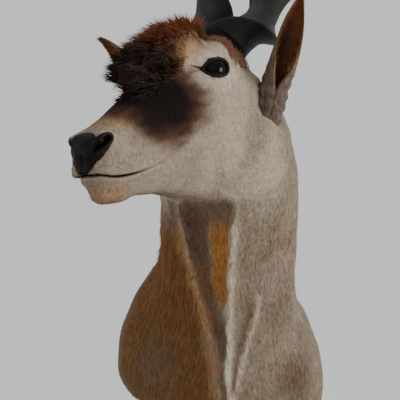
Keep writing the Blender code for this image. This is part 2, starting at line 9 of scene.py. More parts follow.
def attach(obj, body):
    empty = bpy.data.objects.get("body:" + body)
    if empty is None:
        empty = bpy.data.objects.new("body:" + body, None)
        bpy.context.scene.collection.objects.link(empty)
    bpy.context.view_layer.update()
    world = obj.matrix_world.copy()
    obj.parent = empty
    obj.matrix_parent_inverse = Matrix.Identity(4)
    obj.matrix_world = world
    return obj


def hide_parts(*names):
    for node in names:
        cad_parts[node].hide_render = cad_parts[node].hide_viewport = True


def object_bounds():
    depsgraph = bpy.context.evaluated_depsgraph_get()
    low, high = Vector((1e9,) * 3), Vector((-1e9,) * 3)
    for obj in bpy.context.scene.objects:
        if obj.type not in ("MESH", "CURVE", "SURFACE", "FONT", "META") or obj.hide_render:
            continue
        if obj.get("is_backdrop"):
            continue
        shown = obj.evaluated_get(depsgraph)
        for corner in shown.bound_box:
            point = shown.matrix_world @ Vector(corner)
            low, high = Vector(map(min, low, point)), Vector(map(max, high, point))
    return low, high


# %% [markdown]
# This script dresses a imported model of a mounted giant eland: head, neck and chest on a wall
# board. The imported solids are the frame. They give the place, the size and the outline, and the
# pieces made here stand over them: one skin with fur, eyes with lids, ears, and horns with a
# winding keel. Everything is in metres, +Z up, with the wall at y = 0 and the animal looking out
# along -Y.

# %% Load the frame
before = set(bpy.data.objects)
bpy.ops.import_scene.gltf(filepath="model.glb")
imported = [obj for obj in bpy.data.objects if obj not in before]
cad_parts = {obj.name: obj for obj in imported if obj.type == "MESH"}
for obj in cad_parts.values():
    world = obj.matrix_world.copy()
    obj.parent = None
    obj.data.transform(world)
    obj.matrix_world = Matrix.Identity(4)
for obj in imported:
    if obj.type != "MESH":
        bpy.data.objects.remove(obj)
CAD_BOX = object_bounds()
print("nodes of the frame:", sorted(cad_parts))
print("box of the frame:", [[round(v, 3) for v in corner] for corner in CAD_BOX])

# %% [markdown]
# The photo looks up at the mount from a little below, so the camera is tipped up by thirteen
# degrees. Its place and focal length came from fitting a head of known size to the eye, the
# nostril, the corner of the mouth, the ears and the horn feet. A camera this near makes the muzzle
# large and the chest small, which no zoom could copy.

# %% Camera
CAMERA_PLACE = (-0.038, -1.80, -0.095)
CAMERA_PITCH = math.radians(13.0)
FOCAL_PIXELS = 830.5
FRAME_PIXELS = 400
SENSOR_MM = 36.0
NEAREST_SEEN = 0.05

camera_data = bpy.data.cameras.new("camera")
camera_data.sensor_width = SENSOR_MM
camera_data.lens = SENSOR_MM * FOCAL_PIXELS / FRAME_PIXELS
camera_data.clip_start = NEAREST_SEEN
camera = bpy.data.objects.new("camera", camera_data)
camera.location = CAMERA_PLACE
camera.rotation_euler = (math.radians(90.0) + CAMERA_PITCH, 0.0, 0.0)
bpy.context.scene.collection.objects.link(camera)
bpy.context.scene.camera = camera
print("camera lens in mm:", round(camera_data.lens, 2))

# %% [markdown]
# The head has its own frame: x to its left, y back along the face and z up through the crown. All
# the features of the face are given there, symmetric about x = 0, and one matrix turns them into
# place. The same few driving dimensions shaped the solids, so the skin meets them without any
# fitting.

# %% The head's own frame
HEAD_PLACE = Vector((-0.187, -0.786, 0.159))
HEAD_TURN = math.radians(-30.0)
HEAD_NOD = math.radians(20.6)
HEAD_TILT = math.radians(3.0)
HEAD = (
    Matrix.Translation(HEAD_PLACE)
    @ Matrix.Rotation(HEAD_TURN, 4, "Z")
    @ Matrix.Rotation(HEAD_NOD, 4, "X")
    @ Matrix.Rotation(HEAD_TILT, 4, "Y")
)
HEAD_AXES = np.array(HEAD.to_3x3())


def in_head(points):
    """World points, one a row, as points of the head's frame."""
    return (points - np.array(HEAD_PLACE)) @ HEAD_AXES


def from_head(points):
    """Points of the head's frame, one a row, as world points."""
    return points @ HEAD_AXES.T + np.array(HEAD_PLACE)


def left_half(spots):
    """Points of the head's frame, those of the right half mirrored to the left."""
    half = spots.copy()
    half[:, 0] = np.abs(half[:, 0])
    return half


print("front of the mouth at", [round(v, 3) for v in HEAD_PLACE])

# %% [markdown]
# Most of the shaping below is arithmetic on whole arrays, one point or direction a row. That is
# quick in Python, and a field over the hide can be mixed and clipped like a picture. A few helpers
# keep the sums short: soft steps and bells, smooth curves, distances and unit directions.

# %% Helpers for rows of points
SIDES = ((1, "left"), (-1, "right"))


def ramp(value, low, high):
    """0 below low, 1 above high, smooth between them. Low above high turns it round."""
    share = np.clip((value - low) / (high - low), 0.0, 1.0)
    return share * share * (3 - 2 * share)


def catmull(points, count, closed=False):
    """count points on a smooth curve through the rows of points."""
    points = np.asarray(points, float)
    total = len(points)
    spans = total if closed else total - 1
    at = np.arange(count) * spans / (count if closed else count - 1)
    k = np.minimum(at.astype(int), spans - 1)
    t = (at - k)[:, None]

    def row(j):
        index = (k + j) % total if closed else np.clip(k + j, 0, total - 1)
        return points[index]

    a, b, c, d = row(-1), row(0), row(1), row(2)
    return 0.5 * (
        2 * b + (c - a) * t + (2 * a - 5 * b + 4 * c - d) * t**2 + (3 * b - a - 3 * c + d) * t**3
    )


def bell(gap, width):
    """1 at no distance, and falling away over this width."""
    return np.exp(-((gap / width) ** 2))


def at_share(share, values):
    """The value at this share of a line, between values given at even steps."""
    return np.interp(share, np.linspace(0, 1, len(values)), values)


def full_turn(count):
    """Angles at even steps round a circle."""
    return np.arange(count) * 2 * math.pi / count


def distance(points, place):
    """How far each point is from one place."""
    return np.linalg.norm(points - place, axis=1)


def unit(vector):
    return vector / np.linalg.norm(vector)


def unit_rows(vectors):
    return vectors / np.linalg.norm(vectors, axis=1)[:, None]


def laid_on(way, out):
    """Directions without their share along out, so that they lie in the surface."""
    return way - out * (way * out).sum(1)[:, None]


# %% [markdown]
# The skin starts as simple closed forms that overlap: a loft of cross sections for the head, one
# for the neck and chest, and rounded swellings for brow, jaw muscle, lips and breast. A
# taxidermist's foam form is carved the same way, large masses first. Lofts were chosen because
# every section is a few widths that can be read off the animal.

# %% Sections and swellings of the head
# y, top, bottom, then half widths at the jaw, cheek, upper face and crown line
HEAD_STATIONS = (
    (0.007, 0.047, 0.012, 0.007, 0.010, 0.010, 0.006),
    (0.011, 0.053, 0.004, 0.010, 0.016, 0.015, 0.010),
    (0.019, 0.060, -0.008, 0.013, 0.024, 0.022, 0.015),
    (0.033, 0.069, -0.026, 0.017, 0.031, 0.030, 0.020),
    (0.050, 0.075, -0.035, 0.020, 0.036, 0.034, 0.022),
    (0.075, 0.083, -0.037, 0.021, 0.040, 0.035, 0.022),
    (0.105, 0.095, -0.034, 0.022, 0.043, 0.038, 0.024),
    (0.140, 0.109, -0.036, 0.025, 0.048, 0.042, 0.027),
    (0.175, 0.126, -0.041, 0.029, 0.054, 0.049, 0.032),
    (0.210, 0.142, -0.050, 0.033, 0.061, 0.057, 0.038),
    (0.250, 0.159, -0.059, 0.039, 0.068, 0.066, 0.047),
    (0.290, 0.174, -0.067, 0.045, 0.070, 0.072, 0.055),
    (0.330, 0.184, -0.070, 0.050, 0.073, 0.077, 0.058),
    (0.370, 0.185, -0.058, 0.050, 0.074, 0.077, 0.055),
    (0.410, 0.168, -0.025, 0.050, 0.071, 0.070, 0.048),
    (0.445, 0.135, 0.020, 0.038, 0.054, 0.050, 0.034),
)
STATION_HEIGHTS = (0.10, 0.42, 0.70, 0.93)
HEAD_RINGS = 70
HEAD_OUTLINE_POINTS = 48

# Next to the middle line: shares of the jaw's and the crown's half width, and the step in height
NEAR_MIDDLE = (0.55, 0.45)
MIDDLE_STEP = 0.012

# Swellings on both sides of the head: centre, then half sizes
HEAD_SWELLINGS = {
    "orbit": ((0.047, 0.288, 0.126), (0.032, 0.040, 0.031)),
    "brow": ((0.046, 0.283, 0.150), (0.022, 0.036, 0.016)),
    "jaw_muscle": ((0.049, 0.315, 0.010), (0.026, 0.055, 0.062)),
    "nostril_wing": ((0.018, 0.034, 0.052), (0.014, 0.021, 0.016)),
    "upper_lip": ((0.021, 0.055, 0.018), (0.018, 0.044, 0.017)),
    "ear_root": ((0.075, 0.385, 0.072), (0.023, 0.030, 0.046)),
}
CHIN = ((0.0, 0.050, -0.019), (0.020, 0.032, 0.017))
FORELOCK_PAD = ((0.0, 0.236, 0.158), (0.052, 0.104, 0.033), math.radians(19.0))


def loft(rings, end_to_end=False):
    """A closed bmesh through rings of points, capped at both ends or joined end to end."""
    bm = bmesh.new()
    rows = [[bm.verts.new(p) for p in ring] for ring in rings]
    count = len(rows[0])
    for a, b in zip(rows, rows[1:] + rows[:1] if end_to_end else rows[1:]):
        for i in range(count):
            bm.faces.new((a[i], a[(i + 1) % count], b[(i + 1) % count], b[i]))
    if not end_to_end:
        bm.faces.new(list(reversed(rows[0])))
        bm.faces.new(rows[-1])
    bm.normal_update()
    bmesh.ops.recalc_face_normals(bm, faces=bm.faces)
    return bm


def ellipsoid(centre, half_sizes, turn=None):
    """A swelling with these half sizes, turned about its centre."""
    bm = bmesh.new()
    bmesh.ops.create_uvsphere(bm, u_segments=36, v_segments=24, radius=1.0)
    place = Matrix.Translation(centre) @ (turn or Matrix.Identity(4))
    bm.transform(place @ Matrix.Diagonal((*half_sizes, 1.0)))
    return bm


def head_section(station):
    """The outline across the head at one station, the same on both sides."""
    y, top, bottom, jaw, cheek, upper, crown = station
    height = top - bottom
    half = [(NEAR_MIDDLE[0] * jaw, bottom + MIDDLE_STEP * height)]
    widths = (jaw, cheek, upper, crown)
    half += [(w, bottom + s * height) for w, s in zip(widths, STATION_HEIGHTS)]
    half.append((NEAR_MIDDLE[1] * crown, top - MIDDLE_STEP * height))
    outline = [(0.0, y, bottom)] + [(x, y, z) for x, z in half]
    outline += [(0.0, y, top)] + [(-x, y, z) for x, z in reversed(half)]
    return catmull(outline, HEAD_OUTLINE_POINTS, closed=True)


def head_forms():
    """All forms of the head, turned into place."""
    forms = [loft([head_section(s) for s in catmull(HEAD_STATIONS, HEAD_RINGS)])]
    for centre, sizes in HEAD_SWELLINGS.values():
        for side, _ in SIDES:
            forms.append(ellipsoid((side * centre[0], centre[1], centre[2]), sizes))
    forms.append(ellipsoid(*CHIN))
    centre, sizes, lean = FORELOCK_PAD
    forms.append(ellipsoid(centre, sizes, Matrix.Rotation(lean, 4, "X")))
    for form in forms:
        form.transform(HEAD)
    return forms


print("head: stations and swellings", len(HEAD_STATIONS), len(HEAD_SWELLINGS))

# %% [markdown]
# The neck and chest are one loft from the wall to the jaw. Each section stands between a point of
# the throat and one of the nape, so it leans as the neck does. The breasts swell on both sides of
# it, and the dewlap hangs between them in two thin folds, made as tubes because they hardly change
# in width.

# %% Sections of the neck and chest
BODY_RINGS = 60
FOLD_STEPS = 40

# Throat point, nape point, half widths to the left and right, how much the nape half is wider
BODY_STATIONS = (
    (0.000, 0.020, -0.245, 0.000, 0.020, 0.262, 0.160, 0.144, -0.34),
    (0.000, -0.060, -0.252, 0.000, -0.035, 0.280, 0.168, 0.148, -0.34),
    (0.000, -0.150, -0.245, 0.000, -0.085, 0.299, 0.168, 0.146, -0.32),
    (0.000, -0.235, -0.210, 0.002, -0.148, 0.319, 0.156, 0.142, -0.28),
    (0.002, -0.295, -0.150, 0.005, -0.215, 0.338, 0.137, 0.130, -0.14),
    (0.002, -0.330, -0.070, 0.008, -0.280, 0.358, 0.133, 0.114, -0.02),
    (-0.002, -0.375, 0.010, 0.012, -0.345, 0.380, 0.133, 0.112, 0.03),
    (-0.010, -0.445, 0.090, 0.018, -0.410, 0.400, 0.127, 0.112, 0.04),
    (-0.020, -0.520, 0.165, 0.018, -0.475, 0.418, 0.114, 0.108, 0.04),
    (-0.030, -0.575, 0.215, 0.004, -0.540, 0.430, 0.090, 0.096, 0.03),
)
BREASTS = (
    ((0.101, -0.085, 0.008), (0.091, 0.190, 0.187), math.radians(-21.0)),
    ((-0.050, -0.090, 0.068), (0.121, 0.190, 0.214), math.radians(34.0)),
)

# The two folds of the dewlap, down from the jaw to between the breasts, with their thickness
DEWLAP_FOLDS = (
    (
        (0.015, -0.560, 0.186, 0.009),
        (0.012, -0.520, 0.150, 0.011),
        (0.010, -0.455, 0.085, 0.011),
        (0.009, -0.395, 0.020, 0.011),
        (0.010, -0.350, -0.045, 0.011),
        (0.012, -0.322, -0.110, 0.012),
        (0.010, -0.285, -0.170, 0.012),
        (0.006, -0.230, -0.215, 0.010),
    ),
    (
        (-0.082, -0.560, 0.200, 0.010),
        (-0.070, -0.505, 0.145, 0.011),
        (-0.052, -0.445, 0.085, 0.011),
        (-0.032, -0.392, 0.020, 0.011),
        (-0.016, -0.350, -0.045, 0.011),
        (-0.011, -0.322, -0.110, 0.012),
        (-0.009, -0.285, -0.170, 0.012),
        (-0.005, -0.230, -0.215, 0.010),
    ),
)


def body_section(station, count=56):
    """The outline across neck or chest at one station."""
    throat, nape = station[0:3], station[3:6]
    left, right, nape_share = station[6:9]
    middle, rise = (throat + nape) / 2, (nape - throat) / 2
    side = np.array((1.0, 0.0, 0.0)) - rise * rise[0] / rise.dot(rise)
    side /= np.linalg.norm(side)
    angle = full_turn(count)[:, None]
    width = np.where(np.sin(angle) > 0, left, right) * (1 + nape_share * np.cos(angle))
    return middle + np.cos(angle) * rise + width * np.sin(angle) * side


def tube(centres, radii, sides=14):
    """A closed tube along the centres, with its own radius at each."""
    ahead = np.gradient(centres, axis=0)
    across = unit_rows(np.cross(ahead, (0.0, 1.0, 0.001)))
    over = unit_rows(np.cross(across, ahead))
    angles = full_turn(sides)
    rings = [
        c + r * (np.outer(np.cos(angles), a) + np.outer(np.sin(angles), o))
        for c, r, a, o in zip(centres, radii, across, over)
    ]
    return loft(rings)


def body_forms():
    """All forms of neck and chest."""
    forms = [loft([body_section(s) for s in catmull(BODY_STATIONS, BODY_RINGS)])]
    forms += [ellipsoid(c, h, Matrix.Rotation(lean, 4, "Y")) for c, h, lean in BREASTS]
    for fold in DEWLAP_FOLDS:
        line = catmull(fold, FOLD_STEPS)
        forms.append(tube(line[:, :3], line[:, 3]))
    return forms


print("neck and chest: stations and folds", len(BODY_STATIONS), len(DEWLAP_FOLDS))

# %% [markdown]
# The hide of throat and breast has dried into folds, ridges and grooves. Each is a short line with
# a height and a half width. They are listed once, because the shape, the small faces under it and
# the colours, with painted highlights on the ridges and painted shade in a groove, all ask for
# them.

# %% Folds of the dried hide
RIDGE_RIGHT = (
    (0.016, -0.556, 0.202),
    (0.0145, -0.544, 0.160),
    (0.010, -0.485, 0.104),
    (0.008, -0.434, 0.053),
    (0.007, -0.4035, 0.022),
    (0.008, -0.372, -0.023),
    (0.010, -0.339, -0.092),
    (0.010, -0.300, -0.160),
)
RIDGE_LEFT = (
    (-0.081, -0.552, 0.1805),
    (-0.071, -0.516, 0.1435),
    (-0.056, -0.467, 0.097),
    (-0.038, -0.419, 0.0435),
    (-0.033, -0.381, 0.0),
    (-0.026, -0.350, -0.045),
    (-0.016, -0.332, -0.104),
    (-0.010, -0.290, -0.170),
)
SHOULDER_RIDGE = (
    (0.0616, -0.398, 0.0625),
    (0.0576, -0.374, 0.029),
    (0.046, -0.361, 0.0015),
    (0.038, -0.344, -0.033),
    (0.028, -0.329, -0.080),
    (0.019, -0.328, -0.107),
)
SHOULDER_GROOVE = (
    (0.050, -0.391, 0.046),
    (0.039, -0.371, 0.013),
    (0.027, -0.3505, -0.0335),
    (0.0205, -0.334, -0.089),
)
LEFT_GROOVE = (
    (-0.065, -0.420, 0.098),
    (-0.055, -0.399, 0.064),
    (-0.043, -0.391, 0.031),
    (-0.033, -0.360, -0.017),
    (-0.021, -0.332, -0.092),
)
TROUGH = (
    (-0.030, -0.540, 0.190),
    (-0.025, -0.498, 0.147),
    (-0.025, -0.459, 0.108),
    (-0.021, -0.414, 0.054),
    (-0.0145, -0.390, 0.023),
)

# Line, height and half width of each
BODY_FOLDS = (
    (RIDGE_RIGHT, 0.0080, 0.0070),
    (RIDGE_LEFT, 0.0065, 0.0055),
    (SHOULDER_RIDGE, 0.0060, 0.0048),
    (SHOULDER_GROOVE, -0.0085, 0.0075),
    (LEFT_GROOVE, -0.0060, 0.0055),
    (TROUGH, -0.0090, 0.0180),
    (((0.043, -0.530, 0.190), (0.038, -0.473, 0.128), (0.040, -0.425, 0.080)), -0.0032, 0.010),
    (((0.064, -0.477, 0.151), (0.067, -0.418, 0.090)), 0.0018, 0.009),
    (((0.047, -0.425, 0.0825), (0.073, -0.400, 0.0820)), -0.0018, 0.0018),
    (((0.047, -0.425, 0.0865), (0.073, -0.400, 0.0868)), 0.0014, 0.0018),
    (((-0.110, -0.285, 0.1656), (-0.106, -0.308, 0.067), (-0.112, -0.293, 0.0435)), 0.0030, 0.006),
)
print("folds of the hide:", len(BODY_FOLDS))

# %% [markdown]
# Meshes pass between Blender and the arrays through a few functions. They read and write all
# points at once, turn modifiers into plain mesh, and divide faces only where a small fold needs
# it.

# %% Mesh helpers
RELAX_FACTOR = 0.5


def apply_modifiers(obj):
    """Gives the object the mesh that its modifiers make, and clears them."""
    graph = bpy.context.evaluated_depsgraph_get()
    mesh = bpy.data.meshes.new_from_object(obj.evaluated_get(graph))
    old = obj.data
    obj.modifiers.clear()
    obj.data = mesh
    bpy.data.meshes.remove(old)


def mesh_of(name, bm):
    mesh = bpy.data.meshes.new(name)
    bm.to_mesh(mesh)
    bm.free()
    return mesh


def add_object(name, mesh):
    obj = bpy.data.objects.new(name, mesh)
    bpy.context.scene.collection.objects.link(obj)
    return obj


def joined(name, forms):
    """One object that holds every form, and frees them."""
    whole = bmesh.new()
    for form in forms:
        mesh = mesh_of("form", form)
        whole.from_mesh(mesh)
        bpy.data.meshes.remove(mesh)
    return add_object(name, mesh_of(name, whole))


def rows_of(items, key):
    """One vector of each item, as rows."""
    values = np.empty(len(items) * 3, np.float32)
    items.foreach_get(key, values)
    return values.reshape(-1, 3)


def points_of(mesh):
    return rows_of(mesh.vertices, "co").astype(float)


def normals_of(mesh):
    return rows_of(mesh.vertices, "normal").astype(float)


def set_points(mesh, points):
    mesh.vertices.foreach_set("co", np.asarray(points, np.float32).ravel())
    mesh.update()


def near_line(points, line):
    """For each point its distance to the polyline and the share along it."""
    line = np.asarray(line, float)
    best = np.full(len(points), 9.0)
    share = np.zeros(len(points))
    for i, (a, b) in enumerate(zip(line, line[1:])):
        way = b - a
        t = np.clip((points - a) @ way / way.dot(way), 0.0, 1.0)
        gap = np.linalg.norm(points - a - t[:, None] * way, axis=1)
        nearer = gap < best
        best[nearer] = gap[nearer]
        share[nearer] = (i + t[nearer]) / (len(line) - 1)
    return best, share


def divide(obj, chosen):
    """Divides the faces whose corners are all among the chosen vertices."""
    bm = bmesh.new()
    bm.from_mesh(obj.data)
    bm.verts.ensure_lookup_table()
    faces = [f for f in bm.faces if all(chosen[v.index] for v in f.verts)]
    edges = list({e for f in faces for e in f.edges})
    bmesh.ops.subdivide_edges(bm, edges=edges, cuts=1, use_grid_fill=True)
    bmesh.ops.triangulate(bm, faces=[f for f in bm.faces if len(f.verts) > 4])
    bm.to_mesh(obj.data)
    bm.free()


def weigh(obj, name, weights):
    """A vertex group with these weights, of the points where they count."""
    group = obj.vertex_groups.new(name=name)
    for index in np.nonzero(weights > 0.01)[0]:
        group.add([int(index)], float(weights[index]), "REPLACE")


def relax(obj, turns, group=""):
    """Adds a smoothing of this many turns, all over or by the weights of a group."""
    smooth = obj.modifiers.new("relax", "SMOOTH")
    smooth.factor = RELAX_FACTOR
    smooth.iterations = turns
    smooth.vertex_group = group


# %% [markdown]
# The forms become one closed skin by a voxel remesh, then a smoothing that is stronger on the body
# than on the face. The head's faces are then divided once more, and those round the eyes, the
# nostrils and the lips again, because small folds need small faces and the chest doesn't.

# %% One skin from the forms
SKIN_VOXEL = 0.0050
HEAD_RELAX, BODY_RELAX, LAST_RELAX = 9, 40, 2

# In the head's frame: where the body's smoothing sets in and over what depth, and which parts of
# the head get smaller faces
BODY_FROM = 0.30
BODY_BLEND = 0.12
FACE_END = 0.36
CROWN_ABOVE = 0.10
CROWN_END = 0.44
LIP_REACH = 0.010

# How far the board lies in from the outline at the wall, its thickness and the play round it
BOARD_SIDES = 44
BOARD_INSET = 0.014
BOARD_THICKNESS = 0.018
BOARD_PLAY = 0.0006

# Two rounds of dividing near the folds of the body, then one at the fine spots and the lips
FOLD_REACH = (0.012, 0.0065)
EYE_CENTRE = np.array((0.0550, 0.290, 0.1290))
FINE_SPOTS = (
    (np.array((0.070, 0.278, 0.130)), 0.047),
    (np.array((0.022, 0.022, 0.045)), 0.034),
)
LIP_LINE = (
    (0.0, 0.004, 0.0060),
    (0.011, 0.007, 0.0055),
    (0.021, 0.016, 0.0045),
    (0.0270, 0.034, 0.0025),
    (0.0335, 0.058, 0.0010),
    (0.0360, 0.084, 0.0010),
    (0.0385, 0.112, 0.0025),
    (0.0410, 0.130, 0.0065),
)

skin = joined("skin", head_forms() + body_forms())
remesh = skin.modifiers.new("one_skin", "REMESH")
remesh.mode = "VOXEL"
remesh.voxel_size = SKIN_VOXEL
apply_modifiers(skin)

spots = in_head(points_of(skin.data))
body_weight = (spots[:, 1] - BODY_FROM) / BODY_BLEND - spots[:, 2] * 2
weigh(skin, "body", np.clip(body_weight, 0.0, 1.0))
relax(skin, HEAD_RELAX)
relax(skin, BODY_RELAX, "body")
apply_modifiers(skin)


def board_pocket():
    """The room let into the rear for the board, a hair wider than the board itself."""
    station = np.array(BODY_STATIONS[0])
    middle = (station[0:3] + station[3:6]) / 2
    spoke = body_section(station, BOARD_SIDES) - middle
    spoke *= 1 - (BOARD_INSET - BOARD_PLAY) / np.linalg.norm(spoke, axis=1)[:, None]
    rear = (middle + spoke) * (1, 0, 1)
    return loft([rear + (0, 0.02, 0), rear - (0, BOARD_THICKNESS + BOARD_PLAY, 0)])


def behind_wall():
    """Everything past the plane of the wall, as a block."""
    corners = np.array(((-0.4, 0, -0.5), (0.4, 0, -0.5), (0.4, 0, 0.7), (-0.4, 0, 0.7)))
    return loft([corners, corners + (0, 0.4, 0)])


def cut_away(obj, name, bm):
    """Takes the block away from the object."""
    cutter = add_object(name, mesh_of(name, bm))
    cut = obj.modifiers.new(name, "BOOLEAN")
    cut.operation = "DIFFERENCE"
    cut.solver = "MANIFOLD"
    cut.object = cutter
    apply_modifiers(obj)
    obj.data.materials.clear()
    bpy.data.objects.remove(cutter)


cut_away(skin, "wall", behind_wall())
cut_away(skin, "board_pocket", board_pocket())
print("skin cut at the wall, furthest back:", round(float(points_of(skin.data)[:, 1].max()), 5))

spots = in_head(points_of(skin.data))
crown = (spots[:, 2] > CROWN_ABOVE) & (spots[:, 1] < CROWN_END)
divide(skin, (spots[:, 1] < FACE_END) | crown)
for reach in FOLD_REACH:
    places = points_of(skin.data)
    gaps = [near_line(places, line)[0] for line, _, _ in BODY_FOLDS]
    divide(skin, np.min(gaps, axis=0) < reach)
mirrored = left_half(in_head(points_of(skin.data)))
fine = near_line(mirrored, LIP_LINE)[0] < LIP_REACH
for centre, reach in FINE_SPOTS:
    fine |= distance(mirrored, centre) < reach
divide(skin, fine)
relax(skin, LAST_RELAX)
apply_modifiers(skin)
print("skin:", len(skin.data.vertices), "points")

# %% [markdown]
# The large forms leave out all that makes a face: the lids stretched over the eyeball, the comma
# of each nostril, the line between the lips, the bony ridge of the cheek. They are carved into the
# skin by moving its points along their normals, each form by a distance to a short line in the
# head's frame. The skin also steps back by the depth of the coat, as the solids stand for its
# outside.

# %% Carving the face
EYE_RADIUS = 0.0230
LID_RADIUS = EYE_RADIUS + 0.0016
EYE_FORWARD = math.radians(26.0)
EYE_UP = math.radians(4.0)
EYE_SLANT = math.radians(4.4)
LIDS_OPEN_FRONT = math.radians(70.0)
LIDS_OPEN_REAR = math.radians(50.0)
LIDS_OPEN_UP = math.radians(34.0)
LIDS_OPEN_DOWN = math.radians(29.0)

# Hide round the ball: where the lids blend into the face, as openings, how far off, how deep behind
LIDS_BLEND = (1.05, 2.1)
EYE_REACH = 0.060
EYE_HOLLOW = 0.80
NOSTRIL_LINE = (
    (0.0120, 0.006, 0.036),
    (0.0220, 0.014, 0.043),
    (0.0300, 0.026, 0.0515),
    (0.0345, 0.037, 0.0565),
)
NOSTRIL_RADII = (0.0024, 0.0038, 0.0046, 0.0030)

# Stem of the ear in the head's frame, its half width, and how far the hide sinks round it
EAR_STEM = (
    (0.066, 0.382, 0.008),
    (0.085, 0.386, 0.028),
    (0.097, 0.390, 0.056),
    (0.109, 0.395, 0.088),
)
EAR_STEM_HALF = (0.017, 0.021, 0.0235, 0.0245)
EAR_SINK = 0.011

# Ridges and hollows of the face: line in the head's frame, height, half width
FACE_FORMS = (
    (((0.067, 0.262, 0.092), (0.058, 0.205, 0.066), (0.046, 0.150, 0.047)), 0.0022, 0.009),
    (((0.052, 0.246, 0.118), (0.047, 0.222, 0.112)), -0.0030, 0.012),
    (((0.076, 0.335, 0.140), (0.074, 0.360, 0.120)), -0.0035, 0.016),
    (((0.030, 0.120, 0.018), (0.036, 0.150, 0.010), (0.044, 0.200, 0.000)), -0.0022, 0.010),
    (((0.024, 0.110, -0.034), (0.036, 0.200, -0.046), (0.048, 0.290, -0.060)), 0.0022, 0.008),
    (((0.070, 0.255, 0.098), (0.066, 0.228, 0.100)), 0.0014, 0.005),
    (((0.046, 0.122, 0.018), (0.047, 0.128, 0.012), (0.046, 0.134, 0.003)), -0.0014, 0.0022),
    (((0.036, 0.165, -0.038), (0.040, 0.205, -0.040), (0.046, 0.250, -0.046)), -0.0030, 0.004),
    (((0.049, 0.120, 0.023), (0.052, 0.129, 0.012), (0.050, 0.134, -0.001)), -0.0010, 0.0022),
)
LIP_GROOVE = -0.0075
LIP_GROOVE_WIDTH = 0.0024
LIP_FULLNESS = 0.0022
PAD_RISE = 0.0016
NOSTRIL_DEPTH = 0.0085
NOSTRIL_EDGE = 0.0014
PHILTRUM_DEPTH = 0.0018
LINE_STEPS = 12

# Depth of the coat, and how uneven the hide is beneath it
FACE_COAT = 0.0022
BODY_COAT = 0.0040
FACE_UNEVEN = 0.0006
BODY_UNEVEN = 0.0010


def eye_axes(side):
    """Centre of the eyeball and its rearward, upward and outward ways, in the head's frame."""
    out = np.array(
        (
            side * math.cos(EYE_FORWARD) * math.cos(EYE_UP),
            -math.sin(EYE_FORWARD) * math.cos(EYE_UP),
            math.sin(EYE_UP),
        )
    )
    rear = np.array((0.0, math.cos(EYE_SLANT), -math.sin(EYE_SLANT)))
    rear = rear - out * rear.dot(out)
    rear /= np.linalg.norm(rear)
    return EYE_CENTRE * (side, 1, 1), rear, np.cross(out, rear) * side, out


def opening_half(rearward, upward):
    """Half width and half height of the lids' opening on this side, as tangents."""
    wide = np.where(rearward > 0, math.tan(LIDS_OPEN_REAR), math.tan(LIDS_OPEN_FRONT))
    return wide, np.where(upward > 0, math.tan(LIDS_OPEN_UP), math.tan(LIDS_OPEN_DOWN))


def narrowing(across):
    """How the opening closes towards its corners, more so in front."""
    return 1 - 0.5 * np.clip(-across, 0, 1) ** 3 - 0.25 * np.clip(across, 0, 1) ** 4


def almond(rearward, upward):
    """How far a direction lies from the middle of the lids' opening: 1 on its edge."""
    wide, high = opening_half(rearward, upward)
    across = rearward / wide
    return np.hypot(across, upward / (high * narrowing(across)))


def lid_opening(points):
    """The same for points of the head's left half, seen from the middle of the ball."""
    centre, rear, upper, out = eye_axes(1)
    spoke = points - centre
    ahead = np.maximum(spoke @ out, 0.002)
    return almond(spoke @ rear / ahead, spoke @ upper / ahead)


def carve_eye(points):
    """Points of the head's frame, left side: the skin as lids over the ball, open at the almond."""
    centre, _, _, out = eye_axes(1)
    spoke = points - centre
    opening = lid_opening(points)
    reach = np.linalg.norm(spoke, axis=1)
    lids = LID_RADIUS + (reach - LID_RADIUS) * ramp(opening, *LIDS_BLEND)
    wanted = np.where(opening < 1.0, EYE_RADIUS * EYE_HOLLOW, lids)
    near = (reach < EYE_REACH) & (spoke @ out > 0.003) & (opening < LIDS_BLEND[1])
    scale = np.where(near, wanted / reach, 1.0)
    return centre + spoke * scale[:, None]


def on_skin(line, face, count=40):
    """The line of the head's left half laid on the skin: the nearest points, then smoothed."""
    path = []
    for spot in catmull(line, count):
        gap = ((face - spot) ** 2).sum(1)
        path.append(face[np.argsort(gap)[:6]].mean(0))
    path = np.array(path)
    for _ in range(4):
        path[1:-1] = (path[:-2] + 2 * path[1:-1] + path[2:]) / 4
    return path


